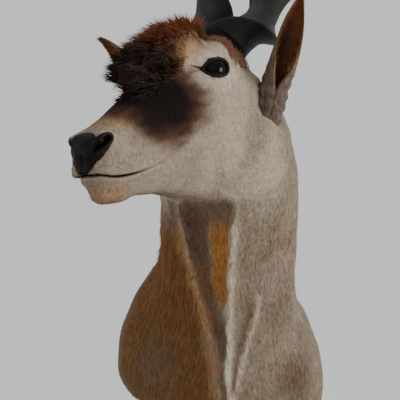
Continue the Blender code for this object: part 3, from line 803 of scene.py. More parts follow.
def carve(points, normals):
    """World points and normals of the skin, to carved world points."""
    spots = in_head(points)
    side = np.sign(spots[:, :1]) + (spots[:, :1] == 0)
    flip = np.concatenate([side, np.ones_like(side), np.ones_like(side)], axis=1)
    face = spots * flip
    head_share = ramp(face[:, 1], 0.46, 0.38)
    off_wall = ramp(-points[:, 1], 0.004, 0.030)
    rise = -(FACE_COAT * head_share + BODY_COAT * (1 - head_share) * off_wall)
    rise += FACE_UNEVEN * wander(points, 0.028, 61) * head_share * ramp(face[:, 1], 0.06, 0.10)
    rise += BODY_UNEVEN * wander(points, 0.060, 62) * (1 - head_share) * off_wall
    for line, height, width in BODY_FOLDS:
        rise += height * bell(near_line(points, line)[0], width) * (1 - head_share)
    rise += PAD_RISE * nose_pad(face)
    for line, height, width in FACE_FORMS:
        rise += height * bell(near_line(face, line)[0], width)
    lips, share = near_line(face, LIP_PATH)
    rise += LIP_GROOVE * (1 - 0.5 * share) * bell(lips, LIP_GROOVE_WIDTH * (1 - 0.4 * share))
    above = ramp(face[:, 2] - np.interp(face[:, 1], *LIP_PATH.T[1:]), -0.002, 0.002)
    rise += LIP_FULLNESS * (0.6 + above) * bell(lips - 0.0065, 0.0045) * head_share
    nostril, share = near_line(face, catmull(NOSTRIL_LINE, LINE_STEPS))
    radius = at_share(share, NOSTRIL_RADII)
    rise -= NOSTRIL_DEPTH * ramp(nostril, radius * 1.15, radius * 0.55)
    rise += NOSTRIL_EDGE * bell(nostril - radius * 1.7, 0.0022)
    stem, share = near_line(face, catmull(EAR_STEM, LINE_STEPS))
    stem = stem - at_share(share, EAR_STEM_HALF)
    rise -= EAR_SINK * ramp(stem, 0.0045, -0.0015) * ramp(face[:, 0], 0.050, 0.062)
    philtrum = (face[:, 1] < 0.022) & (face[:, 2] > 0.006) & (face[:, 2] < 0.036)
    rise -= PHILTRUM_DEPTH * bell(face[:, 0], 0.0014) * philtrum
    points = points + normals * rise[:, None]
    face = in_head(points) * flip
    close = distance(face, EYE_CENTRE) < EYE_REACH
    face[close] = carve_eye(face[close])
    points[close] = from_head(face * flip)[close]
    return points


print("ridges and hollows of the face:", len(FACE_FORMS))

# %% [markdown]
# The nose pad is bare, wet-looking skin round the nostrils, with a stalk down to the lip. Its edge
# has to be the same for the shape, the colour and the fur, which doesn't grow there, so one
# function of the place answers for all three.

# %% Markings, painted shade and highlights by place
TEAR_LINE = ((0.0640, 0.2600, 0.1310), (0.0505, 0.2395, 0.1370))
PAD_MIDDLE = ((0.0, 0.004, 0.012), (0.0, 0.004, 0.018), (0.0, 0.005, 0.032), (0.0, 0.012, 0.046))
PAD_MIDDLE_RADII = (0.0080, 0.0150, 0.0225, 0.0235)
PAD_WING_RADII = (0.0150, 0.0140, 0.0112, 0.0075)

# The dark patch of the face from the side (y and z, then half sizes), and the pale brow above it
DARK_PATCH = ((0.160, 0.102), (0.086, 0.074))
PALE_BROW = (0.055, 0.245, 0.150)

# Soft places of the head: centre, half sizes, softness of the edge
CREST = ((0.0, 0.275, 0.195), (0.060, 0.120, 0.036), 0.30)
HORN_FOOT_HAIR = ((0.044, 0.372, 0.165), (0.034, 0.034, 0.030), 0.35)
AROUND_EYE = (EYE_CENTRE + (0.012, 0.0, -0.004), (0.034, 0.052, 0.028), 0.30)
# Painted shade below the eye
SHADE_BELOW_EYE = ((0.066, 0.235, 0.080), (0.03, 0.06, 0.03), 0.7)

# Places darkened on throat and breast, painted shade under the jaw and darker blotches on the
# breast:
# strength, centre, half sizes, softness of the edge
SHADED_AND_DARK_PLACES = (
    (1.10, (-0.040, -0.580, 0.212), (0.085, 0.100, 0.044), 0.6),
    (0.80, (0.1346, -0.260, -0.060), (0.040, 0.055, 0.036), 0.8),
    (0.40, (0.100, -0.270, -0.120), (0.075, 0.110, 0.060), 0.8),
    (0.25, (0.090, -0.3515, 0.031), (0.020, 0.040, 0.026), 0.8),
    (0.75, (-0.1216, -0.2635, -0.041), (0.044, 0.070, 0.046), 0.8),
)


def nose_pad(face):
    """1 on the bare pad of the nose, 0 on fur. Takes points of the head's left half."""
    middle, share = near_line(face, PAD_MIDDLE)
    middle = middle - at_share(share, PAD_MIDDLE_RADII)
    wing, share = near_line(face, NOSTRIL_LINE)
    wing = wing - at_share(share, PAD_WING_RADII)
    return ramp(np.minimum(middle, wing), 0.0012, -0.0012)


def blob(points, centre, sizes, edge=0.35):
    """1 inside an ellipsoid and 0 outside it, soft over the given share of its size."""
    gap = np.linalg.norm((points - np.array(centre)) / np.array(sizes), axis=1)
    return ramp(gap, 1 + edge, 1 - edge)


def wander(points, scale, seed):
    """A soft wave field, mostly between -1 and 1, with waves of about this length in metres."""
    chance = np.random.default_rng(seed)
    total = np.zeros(len(points))
    for _ in range(5):
        way = chance.normal(size=3)
        way *= 2 * math.pi / (scale * np.linalg.norm(way) * chance.uniform(0.7, 1.5))
        total += np.sin(points @ way + chance.uniform(0, 2 * math.pi))
    return total / 2.5


def wander_3d(points, scale, seed):
    """A drift in every direction: three such fields."""
    return np.stack([wander(points, scale, seed + i) for i in range(3)], axis=1)


def fold_x(points, line):
    """Where a fold runs from side to side at the height of each point."""
    line = np.array(sorted(line, key=lambda spot: spot[2]))
    return np.interp(points[:, 2], line[:, 2], line[:, 0])


def body_markings(points, head):
    """The throat and breast: brown right flank, partly painted shade; trough half dark hair and
    painted shade, half orange; painted highlights on the ridges.
    """
    drift = 0.006 * wander(points, 0.09, 4)
    left_fold, right_fold = fold_x(points, RIDGE_LEFT), fold_x(points, RIDGE_RIGHT)
    x, z = points[:, 0] + 0.4 * drift, points[:, 2]
    fore = ramp(-points[:, 1], 0.02, 0.12) * (1 - head)
    # Brown on the animal's right flank, the side away from the key lamp: partly coat colour, partly
    # painted shade
    flank = ramp(x, left_fold + 0.003, left_fold - 0.006) * ramp(z + 5 * drift, 0.42, 0.14)
    flank *= ramp(-points[:, 1] + 4 * drift, -0.02, 0.24)
    across = (x - left_fold) / np.maximum(right_fold - left_fold, 0.008)
    low = ramp(z, 0.050, 0.0)
    between = ramp(across, 0.08 + 0.25 * low, 0.26 + 0.35 * low) * ramp(across, 1.0, 0.86)
    between = between * ramp(-points[:, 1], 0.22, 0.30) * ramp(z + 3 * drift, 0.225, 0.180)
    high = ramp(z, 0.030, 0.062) * ramp(z, 0.26, 0.19)
    amber = between * high * ramp(across, 0.52, 0.62)
    # Dark hair with painted shade over the left half and the floor of the trough
    shade_and_dark_hair = between * high * ramp(across, 0.58, 0.48) + between * ramp(z, 0.045, 0.01)
    # Painted shade in the shoulder groove
    shade_and_dark_hair += bell(near_line(points, SHOULDER_GROOVE)[0], 0.0085)
    # Painted shade high in the trough, under the jaw
    shade_and_dark_hair += 0.45 * between * ramp(z, 0.15, 0.21)
    # Painted shade under the jaw, and darker blotches on the breast
    for strength, *place in SHADED_AND_DARK_PLACES:
        shade_and_dark_hair += strength * blob(points, *place)
    below_jaw = ramp(z, 0.195, 0.150)
    # Painted highlights: the right ridge and the shoulder ridge are painted pale where they catch
    # the light
    pale = 1.15 * bell(near_line(points, RIDGE_RIGHT)[0], 0.0105) * below_jaw
    pale += 0.75 * bell(near_line(points, SHOULDER_RIDGE)[0], 0.0055)
    # Tan hair along the left ridge, partly painted highlight where the ridge catches the light
    tan = 0.85 * bell(near_line(points, RIDGE_LEFT)[0], 0.0095) * (0.3 + 0.7 * below_jaw)
    return flank * fore, amber * fore, shade_and_dark_hair * fore, pale * fore, tan * fore


def markings(points):
    """Shares of each coat colour at world points, painted shade and painted highlights among them.
    """
    spots = in_head(points)
    face = left_half(spots)
    soft = face + 0.005 * wander_3d(points, 0.05, 1)
    y, z = soft[:, 1], soft[:, 2]
    head = ramp(spots[:, 1], 0.43, 0.36) * ramp(face[:, 2], -0.12, -0.07)
    middle, half = DARK_PATCH
    gap = np.hypot((y - middle[0]) / half[0], (z - middle[1]) / half[1])
    gap += 0.035 * wander(face * (1, 0.45, 1), 0.016, 8) + 0.04 * wander(face, 0.045, 9)
    dark = ramp(gap, 0.98, 0.46)
    rufous = 1.1 * ramp(gap, 1.26, 0.78)
    rufous *= ramp(distance(face, PALE_BROW), 0.012, 0.032)
    crest = blob(soft, *CREST)
    tuft = blob(soft, *HORN_FOOT_HAIR)
    around_eye = blob(face, *AROUND_EYE)
    pad = nose_pad(face) * (spots[:, 1] < 0.08)
    lips, share = near_line(face, LIP_PATH)
    lip = ramp(lips, 0.0036 * (1.1 - 0.6 * share), 0.0016) * ramp(share, 0.98, 0.62)
    tear = near_line(face, TEAR_PATH)
    tear_dark = ramp(tear[0], 0.0056 - 0.0034 * tear[1], 0.0034 - 0.0022 * tear[1])
    # Dark hair round the tear pit, spread wider as painted shade round the front corner of the eye
    tear_hair_and_shade = ramp(tear[0], 0.0078 - 0.0030 * tear[1], 0.0042 - 0.0020 * tear[1])
    bridge = ramp(y, 0.02, 0.06) * ramp(z - 0.45 * y, 0.030, 0.050)
    chin = ramp(z, -0.004, -0.016) * ramp(y, 0.085, 0.045)
    lid = ramp(lid_opening(face), 1.42, 1.26) * ramp(distance(face, EYE_CENTRE), 0.036, 0.033)
    flank, amber, shade_and_dark_hair, pale, tan = body_markings(points, head)
    tan = tan + 0.75 * bridge * head + 0.65 * chin * head
    # Painted shade under the jaw, darkest towards the middle of the throat
    stations = np.array(HEAD_STATIONS)
    jaw_edge = face[:, 2] - np.interp(face[:, 1], stations[:, 0], stations[:, 2])
    below = ramp(jaw_edge, 0.004, -0.010) * ramp(y, 0.110, 0.160)
    shade_and_dark_hair = shade_and_dark_hair + head * below * (0.30 + 0.60 * ramp(face[:, 0], 0.075, 0.045))
    # Darker towards the muzzle, and painted shade below the eye
    shade_and_dark_hair += 0.26 * head * ramp(y, 0.16, 0.05) + 0.30 * blob(soft, *SHADE_BELOW_EYE)
    clear = head * (1 - around_eye)
    light = 0.12 + 0.20 * around_eye + 0.25 * ramp(y, 0.20, 0.30)
    shares = {
        "dark": dark * clear * ramp(face[:, 1], 0.262, 0.225) + 0.95 * tear_hair_and_shade * head,
        "rufous": (crest + 0.9 * tuft + 0.85 * rufous) * clear,
        # Cream coat on the head, and the painted highlights on the ridges of the breast
        "cream_and_ridge_highlight": head * (1 - dark) * light + pale,
        "brown": flank,
        "amber": amber,
        "shade_and_dark_hair": shade_and_dark_hair,
        "tan": tan,
        "pad": np.max([pad, lip, tear_dark * head, lid * head], axis=0),
    }
    return {mark: np.clip(values, 0, 1) for mark, values in shares.items()}


print("dusky places:", len(SHADED_AND_DARK_PLACES))

# %% [markdown]
# The lip and the tear pit are lines given roughly in the head's frame, so they are first laid on
# the skin itself. The markings are worked out before the carving, because a deep groove would
# shift them, and each is stored on the skin as one number a point for the materials and the fur.

# %% Carve the skin and store its markings
LIP_AREA = ((0.03, 0.06, 0.0), 0.11)
TEAR_AREA = (EYE_CENTRE, 0.08)

# Where the pale fold meets the jaw the carved points crowd together, so they are eased apart
JAW_CORNER = (0.014, -0.560, 0.180)
JAW_CORNER_REACH = (0.018, 0.007)
JAW_CORNER_RELAX = 20

points = points_of(skin.data)
face = left_half(in_head(points))
LIP_PATH = on_skin(LIP_LINE, face[distance(face, LIP_AREA[0]) < LIP_AREA[1]])
TEAR_PATH = on_skin(TEAR_LINE, face[distance(face, TEAR_AREA[0]) < TEAR_AREA[1]], LINE_STEPS)
MARKS = markings(points)
set_points(skin.data, carve(points, normals_of(skin.data)))
eased = ramp(distance(points, JAW_CORNER), *JAW_CORNER_REACH)
weigh(skin, "jaw_corner", eased)
relax(skin, JAW_CORNER_RELAX, "jaw_corner")
apply_modifiers(skin)
print("points eased under the jaw:", int((eased > 0.01).sum()))


def store(mesh, name, values):
    """Keeps one number or one vector for each point of the mesh under this name."""
    values = np.asarray(values, np.float32)
    kind, key = ("FLOAT", "value") if values.ndim == 1 else ("FLOAT_VECTOR", "vector")
    layer = mesh.attributes.new(name, kind, "POINT")
    layer.data.foreach_set(key, values.ravel())


def shade_smooth(mesh):
    mesh.polygons.foreach_set("use_smooth", np.ones(len(mesh.polygons), bool))


for mark, values in MARKS.items():
    store(skin.data, mark, values)
shade_smooth(skin.data)
print("skin carved; share of points with each mark:")
print({mark: round(float((values > 0.5).mean()), 3) for mark, values in MARKS.items()})

# %% [markdown]
# Every finish is a node material. Colours are written as sRGB hex, as a paint chart gives them,
# and one function turns them into the linear values that the shader works in. A second function
# adds a node, sets it and links it, so each material reads as a list of what feeds what.

# %% Colour and node helpers
ATTRIBUTE = "ShaderNodeAttribute"
BUMP = "ShaderNodeBump"
MATHS = "ShaderNodeMath"
MIX = "ShaderNodeMix"
RANGE = "ShaderNodeMapRange"
PRODUCT = {"operation": "MULTIPLY"}

# A Mix node for colours takes its share at 0 and its two colours at 6 and 7, and answers at 2
PLAIN = {"data_type": "RGBA"}
TIMES = {"data_type": "RGBA", "blend_type": "MULTIPLY"}
DODGE = {"data_type": "RGBA", "blend_type": "DODGE"}


def linear(hex_colour):
    """An sRGB hex colour as linear RGBA."""
    parts = [int(hex_colour[i : i + 2], 16) / 255 for i in (1, 3, 5)]
    turned = [p / 12.92 if p <= 0.04045 else ((p + 0.055) / 1.055) ** 2.4 for p in parts]
    return (*turned, 1.0)


def feed(tree, node, inputs):
    """Each input is a value, a hex colour, or a socket of another node to link."""
    for name, value in inputs.items():
        if isinstance(value, bpy.types.NodeSocket):
            tree.links.new(value, node.inputs[name])
        elif isinstance(value, str) and value.startswith("#"):
            node.inputs[name].default_value = linear(value)
        else:
            node.inputs[name].default_value = value


def add_node(tree, kind, settings=None, inputs=None):
    """A node with its settings and its inputs."""
    node = tree.nodes.new(kind)
    for name, value in (settings or {}).items():
        setattr(node, name, value)
    feed(tree, node, inputs or {})
    return node


def new_material(name, **constants):
    """A material and its Principled shader with these constants on its own sockets."""
    made = bpy.data.materials.new(name)
    made.use_nodes = True
    shader = made.node_tree.nodes["Principled BSDF"]
    for key, value in constants.items():
        shader.inputs[key.replace("_", " ")].default_value = value
    return made, made.node_tree, shader


def pattern(tree, size_mm, detail=3.0, stretch=(1.0, 1.0, 1.0), between=None):
    """Noise on Object coordinates, its spots this many mm wide, spread between low and high."""
    place = add_node(tree, "ShaderNodeTexCoord").outputs["Object"]
    scaled = add_node(tree, "ShaderNodeMapping", {}, {"Vector": place, "Scale": stretch})
    inputs = {"Vector": scaled.outputs["Vector"], "Scale": 1000.0 / size_mm, "Detail": detail}
    spots = add_node(tree, "ShaderNodeTexNoise", {}, inputs).outputs["Fac"]
    if between is None:
        return spots
    inputs = {"Value": spots, "From Min": between[0], "From Max": between[1]}
    return add_node(tree, RANGE, {}, inputs).outputs["Result"]


def deepened(tree, colour, shade, share):
    """The colour as it is where the share is 1, and multiplied by the shade where it is 0."""
    deeper = add_node(tree, MIX, TIMES, {0: 1.0, 6: colour, 7: shade}).outputs[2]
    return add_node(tree, MIX, PLAIN, {0: share, 6: deeper, 7: colour}).outputs[2]


print("white as a linear colour:", linear("#ffffff"))

# %% [markdown]
# The coat of an eland is short, dry and matt. Up close each hair is banded, so the colour breathes
# from hair to hair and in soft patches a hand wide. Skin and tufts share one colour recipe that
# reads the same stored markings, so a gap in the fur shows nothing new. The pad of the nose is the
# one smooth place: pebbled, near black and lightly polished.

# %% Coat and skin materials
COAT_TAUPE = "#a0968a"
COAT_TAUPE_DEEP = "#8c8275"
# Cream of the coat, also used for the painted highlights on the ridges
CREAM_AND_RIDGE_HIGHLIGHT = "#d8d1c2"
# Tan of the coat, also used for the painted highlight on the left ridge
COAT_TAN_AND_RIDGE_HIGHLIGHT = "#a27e53"
# Brown of the coat, also standing for painted shade on the right flank
COAT_BROWN_AND_SHADE = "#83603f"
COAT_AMBER = "#b5814a"
# One colour for painted shade and for dark hair
SHADE_AND_DARK_HAIR_COLOUR = "#786759"
COAT_RUFOUS = "#4e3022"
COAT_DARK = "#160e0c"
NOSE_BLACK = "#0a0706"
MARK_COLOURS = (
    ("cream_and_ridge_highlight", CREAM_AND_RIDGE_HIGHLIGHT),
    ("brown", COAT_BROWN_AND_SHADE),
    ("tan", COAT_TAN_AND_RIDGE_HIGHLIGHT),
    ("amber", COAT_AMBER),
    ("shade_and_dark_hair", SHADE_AND_DARK_HAIR_COLOUR),
    ("rufous", COAT_RUFOUS),
    ("dark", COAT_DARK),
)


def coat_colour(tree):
    """The colour of hide or hair from its stored markings, painted shade and highlights included.
    """
    patchy = pattern(tree, 60.0, 4.0, between=(0.35, 0.65))
    fine = pattern(tree, 4.0, 3.0, (1.0, 1.0, 0.35), (0.3, 0.7))
    inputs = {0: patchy, 6: COAT_TAUPE, 7: COAT_TAUPE_DEEP}
    colour = add_node(tree, MIX, PLAIN, inputs).outputs[2]
    for mark, shade in MARK_COLOURS:
        share = add_node(tree, ATTRIBUTE, {"attribute_name": mark}).outputs["Fac"]
        colour = add_node(tree, MIX, PLAIN, {0: share, 6: colour, 7: shade}).outputs[2]
    return deepened(tree, colour, "#ddd7cf", fine)


def skin_material():
    """Tanned hide under short hair: matt, with a fine grain that breaks the light."""
    made, tree, shader = new_material("tanned_hide", Roughness=0.88, Specular_IOR_Level=0.14)
    pad = add_node(tree, ATTRIBUTE, {"attribute_name": "pad"}).outputs["Fac"]
    inputs = {0: pad, 6: coat_colour(tree), 7: NOSE_BLACK}
    colour = add_node(tree, MIX, PLAIN, inputs).outputs[2]
    rough = add_node(tree, RANGE, {}, {"Value": pad, "To Min": 0.88, "To Max": 0.46})
    grain = pattern(tree, 2.4, 3.0, (1.0, 1.0, 0.3))
    hairs = add_node(tree, BUMP, {}, {"Height": grain, "Distance": 0.0010, "Strength": 0.55})
    feed(tree, shader, {"Base Color": colour, "Roughness": rough.outputs["Result"]})
    feed(tree, shader, {"Normal": hairs.outputs["Normal"]})
    return made


def fur_material():
    """Short dry hair: matt, lighter towards some tips, tone from tuft to tuft."""
    made, tree, shader = new_material("short_hair", Roughness=0.85, Specular_IOR_Level=0.15)
    tone = add_node(tree, ATTRIBUTE, {"attribute_name": "tone"}).outputs["Fac"]
    colour = coat_colour(tree)
    deeper = add_node(tree, MIX, TIMES, {0: 1.0, 6: colour, 7: "#e6e2dc"}).outputs[2]
    lighter = add_node(tree, MIX, DODGE, {0: 0.14, 6: colour, 7: "#ffffff"}).outputs[2]
    colour = add_node(tree, MIX, PLAIN, {0: tone, 6: deeper, 7: lighter}).outputs[2]
    feed(tree, shader, {"Base Color": colour})
    return made


def lock_material():
    """Forelock bristles: rufous to nearly black, with a low gloss along the hair."""
    made, tree, shader = new_material("forelock_hair", Roughness=0.55, Specular_IOR_Level=0.45)
    tone, dark, tan = (
        add_node(tree, ATTRIBUTE, {"attribute_name": name}).outputs["Fac"]
        for name in ("tone", "dark", "tan")
    )
    colour = add_node(tree, MIX, PLAIN, {0: dark, 6: "#8c5231", 7: "#1b100c"}).outputs[2]
    colour = add_node(tree, MIX, PLAIN, {0: tan, 6: colour, 7: "#a2845c"}).outputs[2]
    lighter = add_node(tree, MIX, DODGE, {0: 0.45, 6: colour, 7: "#d8b08c"}).outputs[2]
    colour = add_node(tree, MIX, PLAIN, {0: tone, 6: colour, 7: lighter}).outputs[2]
    feed(tree, shader, {"Base Color": colour})
    return made


HIDE = skin_material()
FUR = fur_material()
BRISTLE = lock_material()
skin.data.materials.append(HIDE)
print("coat materials:", [m.name for m in (HIDE, FUR, BRISTLE)])

# %% [markdown]
# A mount has glass eyes: a dark brown iris round a wide, level pupil under one clear, wet gloss.
# The lids are thick, bare rims that hug the ball, so each is a soft cord swept along the almond.
# The long corner in front is the tear pit, which on an eland is deep and black.

# %% Eyes and lids
EYE_SEGMENTS = 64
RIM_STEPS = 72
RIM_ANGLES = full_turn(RIM_STEPS)
RIM_RADIUS = 0.0024
PUPIL_HALF = (0.0100, 0.0065)
IRIS_HALF = 0.0150
IRIS_EDGE = 0.003


def by_side(points, side):
    """The left side's points of the head's frame for either side."""
    return points * (side, 1, 1)


def rim_line(side, reach):
    """Points along the lids' edge, this far from the ball's centre, and the ways to them."""
    centre, rear, upper, out = eye_axes(side)
    rearward, upward = np.cos(RIM_ANGLES), np.sin(RIM_ANGLES)
    wide, high = opening_half(rearward, upward)
    way = np.outer(wide * rearward, rear)
    way = unit_rows(way + np.outer(high * upward * narrowing(rearward), upper) + out)
    return centre + way * reach, way


def cord(line, out, radii, sides=8):
    """A soft cord swept round a closed line, the first side of each section towards out."""
    ahead = unit_rows(np.roll(line, -1, axis=0) - np.roll(line, 1, axis=0))
    across = unit_rows(np.cross(ahead, out))
    over = np.cross(across, ahead)
    angles = full_turn(sides)
    rings = [
        spot + radius * (np.outer(np.cos(angles), o) + np.outer(np.sin(angles), a))
        for spot, radius, a, o in zip(line, radii, across, over)
    ]
    return loft(rings, end_to_end=True)


def eye_material():
    """Cast glass eye: brown iris fired on the back, black pupil, clear polished front."""
    made, tree, shader = new_material("glass_eye", Roughness=0.05, Specular_IOR_Level=0.11)
    streaks = pattern(tree, 1.6, 4.0, between=(0.35, 0.65))
    iris = add_node(tree, MIX, PLAIN, {0: streaks, 6: "#0a0605", 7: "#1c100a"}).outputs[2]
    pupil = add_node(tree, ATTRIBUTE, {"attribute_name": "pupil"}).outputs["Fac"]
    colour = add_node(tree, MIX, PLAIN, {0: pupil, 6: iris, 7: "#020202"}).outputs[2]
    feed(tree, shader, {"Base Color": colour})
    return made


def lid_material():
    """Bare lid skin: leathery, nearly black, a little greasy."""
    made, tree, shader = new_material("bare_lid_skin", Roughness=0.7, Specular_IOR_Level=0.2)
    grain = pattern(tree, 1.2, 3.0)
    colour = add_node(tree, MIX, PLAIN, {0: grain, 6: "#0d0a09", 7: "#221a17"}).outputs[2]
    pores = add_node(tree, BUMP, {}, {"Height": grain, "Distance": 0.0004, "Strength": 0.5})
    feed(tree, shader, {"Base Color": colour, "Normal": pores.outputs["Normal"]})
    return made


GLASS_EYE = eye_material()
LID_SKIN = lid_material()
PIECES = {}


def add_piece(key, name, mesh, material):
    """A smooth object with its material, kept among the pieces under its key."""
    piece = add_object(name, mesh)
    shade_smooth(mesh)
    mesh.materials.append(material)
    PIECES[key] = piece


for side, word in SIDES:
    centre, *axes = eye_axes(side)
    bm = bmesh.new()
    bmesh.ops.create_uvsphere(
        bm, u_segments=EYE_SEGMENTS, v_segments=EYE_SEGMENTS // 2, radius=EYE_RADIUS
    )
    ball = mesh_of("eye", bm)
    local = points_of(ball)
    across, over = local[:, 0] / PUPIL_HALF[0], local[:, 1] / PUPIL_HALF[1]
    pupil = ramp(np.hypot(across, over), 1.15, 0.9) * (local[:, 2] > 0)
    white = ramp(np.hypot(local[:, 0], local[:, 1]), IRIS_HALF, IRIS_HALF + IRIS_EDGE)
    set_points(ball, from_head(centre + local @ np.stack(axes)))
    if side < 0:
        ball.flip_normals()
    store(ball, "pupil", np.maximum(pupil, white * 0.6))
    add_piece(f"eye_{word}", f"glass_eye_{word}", ball, GLASS_EYE)

    line, way = rim_line(side, LID_RADIUS + 0.0002)
    front = ramp(np.cos(RIM_ANGLES), -0.75, -1.0)
    bm = cord(from_head(line), way @ HEAD_AXES.T, RIM_RADIUS * (1 + 0.5 * front))
    add_piece(f"rim_{word}", f"lid_rim_{word}", mesh_of("rim", bm), LID_SKIN)
print("eyes and lid rims made:", len(PIECES))

# %% [markdown]
# The horns of an eland run straight, with one keel that winds up the lower two thirds like a rope
# and leaves the tip smooth. Each ring is a circle with a raised crest at a turning angle, and fine
# growth wrinkles cross it. The keel is painted paler where it stands proud, a painted highlight, so
# its height is stored for the colour. A loft of turned rings was chosen because a screw modifier
# can't fade the keel out.

# %% Horns
HORN_FOOT = {1: np.array((0.036, 0.396, 0.162)), -1: np.array((0.037, 0.398, 0.160))}
HORN_RISE = math.radians(33.0)
HORN_SPREAD = {1: math.radians(15.0), -1: math.radians(7.0)}
HORN_FLARE = 0.06
HORN_LENGTH = 0.80
HORN_RADIUS = 0.0305
KEEL_HEIGHT = 0.0210
KEEL_WIDTH = math.radians(68.0)
KEEL_START = math.radians(-30.0)
KEEL_TURNS = 2.2
SPIRAL_SHARE = 0.65
CORKSCREW = 0.0090
HORN_RINGS = 320
HORN_SIDES = 60
WRINKLE = 0.00012
WRINKLE_SPACE = 0.0065
HORN_WITHIN = 0.995


def horn_way(side):
    """The direction in which a horn leaves the skull, in the head's frame."""
    flat = math.cos(HORN_SPREAD[side])
    across = side * math.sin(HORN_SPREAD[side])
    return np.array((across, flat * math.cos(HORN_RISE), flat * math.sin(HORN_RISE)))


def horn_mesh(side):
    """The horn's rings from foot to tip, with the height of the keel stored."""
    spread = horn_way(side)
    across = np.array((side, 0.0, 0.0))
    across = unit(across - spread * across.dot(spread))
    fore = np.cross(spread, across) * side
    share = np.arange(HORN_RINGS) / (HORN_RINGS - 1)
    around = full_turn(HORN_SIDES)
    off = np.abs((around + math.pi) % (2 * math.pi) - math.pi)
    ridge = np.maximum(0, 1 - off / KEEL_WIDTH) ** 1.4
    rings = []
    crest = []
    for along in share**1.25:
        wound = min(1.0, along / SPIRAL_SHARE)
        turn = KEEL_START + 2 * math.pi * KEEL_TURNS * (1 - (1 - wound) ** 1.5)
        thick = HORN_RADIUS * (1 - 0.62 * along) * min(1.0, (1.02 - along) * 6)
        keel = KEEL_HEIGHT * (1 - wound) ** 0.8
        swing = CORKSCREW * (1 - wound) * min(1.0, along * 9)
        middle = by_side(HORN_FOOT[side], side) + spread * along * HORN_LENGTH
        middle = middle + across * HORN_FLARE * along * along
        middle = middle + swing * (math.cos(turn) * -fore + math.sin(turn) * across)
        low = WRINKLE * (1 - wound) * math.sin(2 * math.pi * along * HORN_LENGTH / WRINKLE_SPACE)
        low -= WRINKLE * (1 - wound)
        radius = (thick + keel * ridge + low * (1 - 0.6 * ridge)) * HORN_WITHIN
        angle = turn + around
        spoke = np.outer(np.cos(angle), -fore) + np.outer(np.sin(angle), across)
        rings.append(middle + radius[:, None] * spoke)
        crest.append(ridge * (keel / KEEL_HEIGHT) ** 0.3)
    mesh = mesh_of("horn", loft([from_head(ring) for ring in rings]))
    store(mesh, "crest", np.concatenate(crest))
    return mesh


def horn_material():
    """Natural horn: charcoal keratin with lengthwise fibres, and a painted highlight on the keel.
    """
    made, tree, shader = new_material("horn_keratin", Roughness=0.6, Specular_IOR_Level=0.25)
    patchy = pattern(tree, 34.0, 5.0, between=(0.38, 0.66))
    fibres = pattern(tree, 2.2, 4.0, (1.0, 0.16, 0.30), (0.3, 0.7))
    crest = add_node(tree, ATTRIBUTE, {"attribute_name": "crest"}).outputs["Fac"]
    inputs = {"Value": crest, "From Min": 0.80, "To Max": 0.35}
    keel = add_node(tree, RANGE, {}, inputs).outputs["Result"]
    colour = add_node(tree, MIX, PLAIN, {0: patchy, 6: "#0f0d0f", 7: "#1b1817"}).outputs[2]
    # Painted highlight: the keel's crest is painted a paler grey
    colour = add_node(tree, MIX, PLAIN, {0: keel, 6: colour, 7: "#4a463f"}).outputs[2]
    feed(tree, shader, {"Base Color": deepened(tree, colour, "#cfcac4", fibres)})
    rough = add_node(tree, RANGE, {}, {"Value": patchy, "To Min": 0.52, "To Max": 0.70})
    grain = add_node(tree, BUMP, {}, {"Height": fibres, "Distance": 0.0003, "Strength": 0.4})
    feed(tree, shader, {"Roughness": rough.outputs["Result"], "Normal": grain.outputs["Normal"]})
    return made


HORN = horn_material()
for side, word in SIDES:
    add_piece(f"horn_{word}", f"carved_horn_{word}", horn_mesh(side), HORN)
print("horns:", HORN_RINGS * HORN_SIDES, "points each")

# %% [markdown]
# The ears are a stem that opens into a long cup. The rings run outside one way and inside back, so
# the shell is thick with a rounded rim. Wrinkles cross the stem where the dried skin has drawn
# together. Hair on the rim and inside hides most of the shell, so its inner colour only has to
# glow rust.

# %% Ears
EAR_AXIS = (
    ((0.062, 0.381, 0.002), (0.034, 180.0, 0.0165)),
    ((0.083, 0.386, 0.026), (0.045, 180.0, 0.0220)),
    ((0.096, 0.390, 0.056), (0.051, 180.0, 0.0220)),
    ((0.108, 0.395, 0.090), (0.051, 178.0, 0.0120)),
    ((0.124, 0.400, 0.124), (0.048, 140.0, 0.0045)),
    ((0.137, 0.406, 0.157), (0.044, 108.0, 0.0038)),
    ((0.149, 0.411, 0.190), (0.035, 90.0, 0.0034)),
    ((0.158, 0.415, 0.214), (0.020, 80.0, 0.0030)),
    ((0.163, 0.417, 0.228), (0.007, 70.0, 0.0024)),
)
EAR_RIGHT_SHIFT = np.array((0.045, -0.030, -0.010))
EAR_FACING = np.array((0.55, -0.80, 0.15))
EAR_RINGS = 110
EAR_SIDES = 30
STEM_WRINKLE = 0.0012


def ear_frames(side):
    """Centres, sizes and the forward, open and cross directions of the ear's rings."""
    places = np.array([row[0] for row in EAR_AXIS])
    if side < 0:
        at = np.arange(len(places)) / (len(places) - 1)
        places = places + EAR_RIGHT_SHIFT * (at**1.3)[:, None]
    line = catmull(by_side(places, side), EAR_RINGS)
    sizes = catmull([row[1] for row in EAR_AXIS], EAR_RINGS)
    ahead = unit_rows(np.gradient(line, axis=0))
    facing = by_side(EAR_FACING, side)
    open_way = unit_rows(facing - ahead * (ahead @ facing)[:, None])
    return line, sizes, ahead, open_way, np.cross(ahead, open_way)


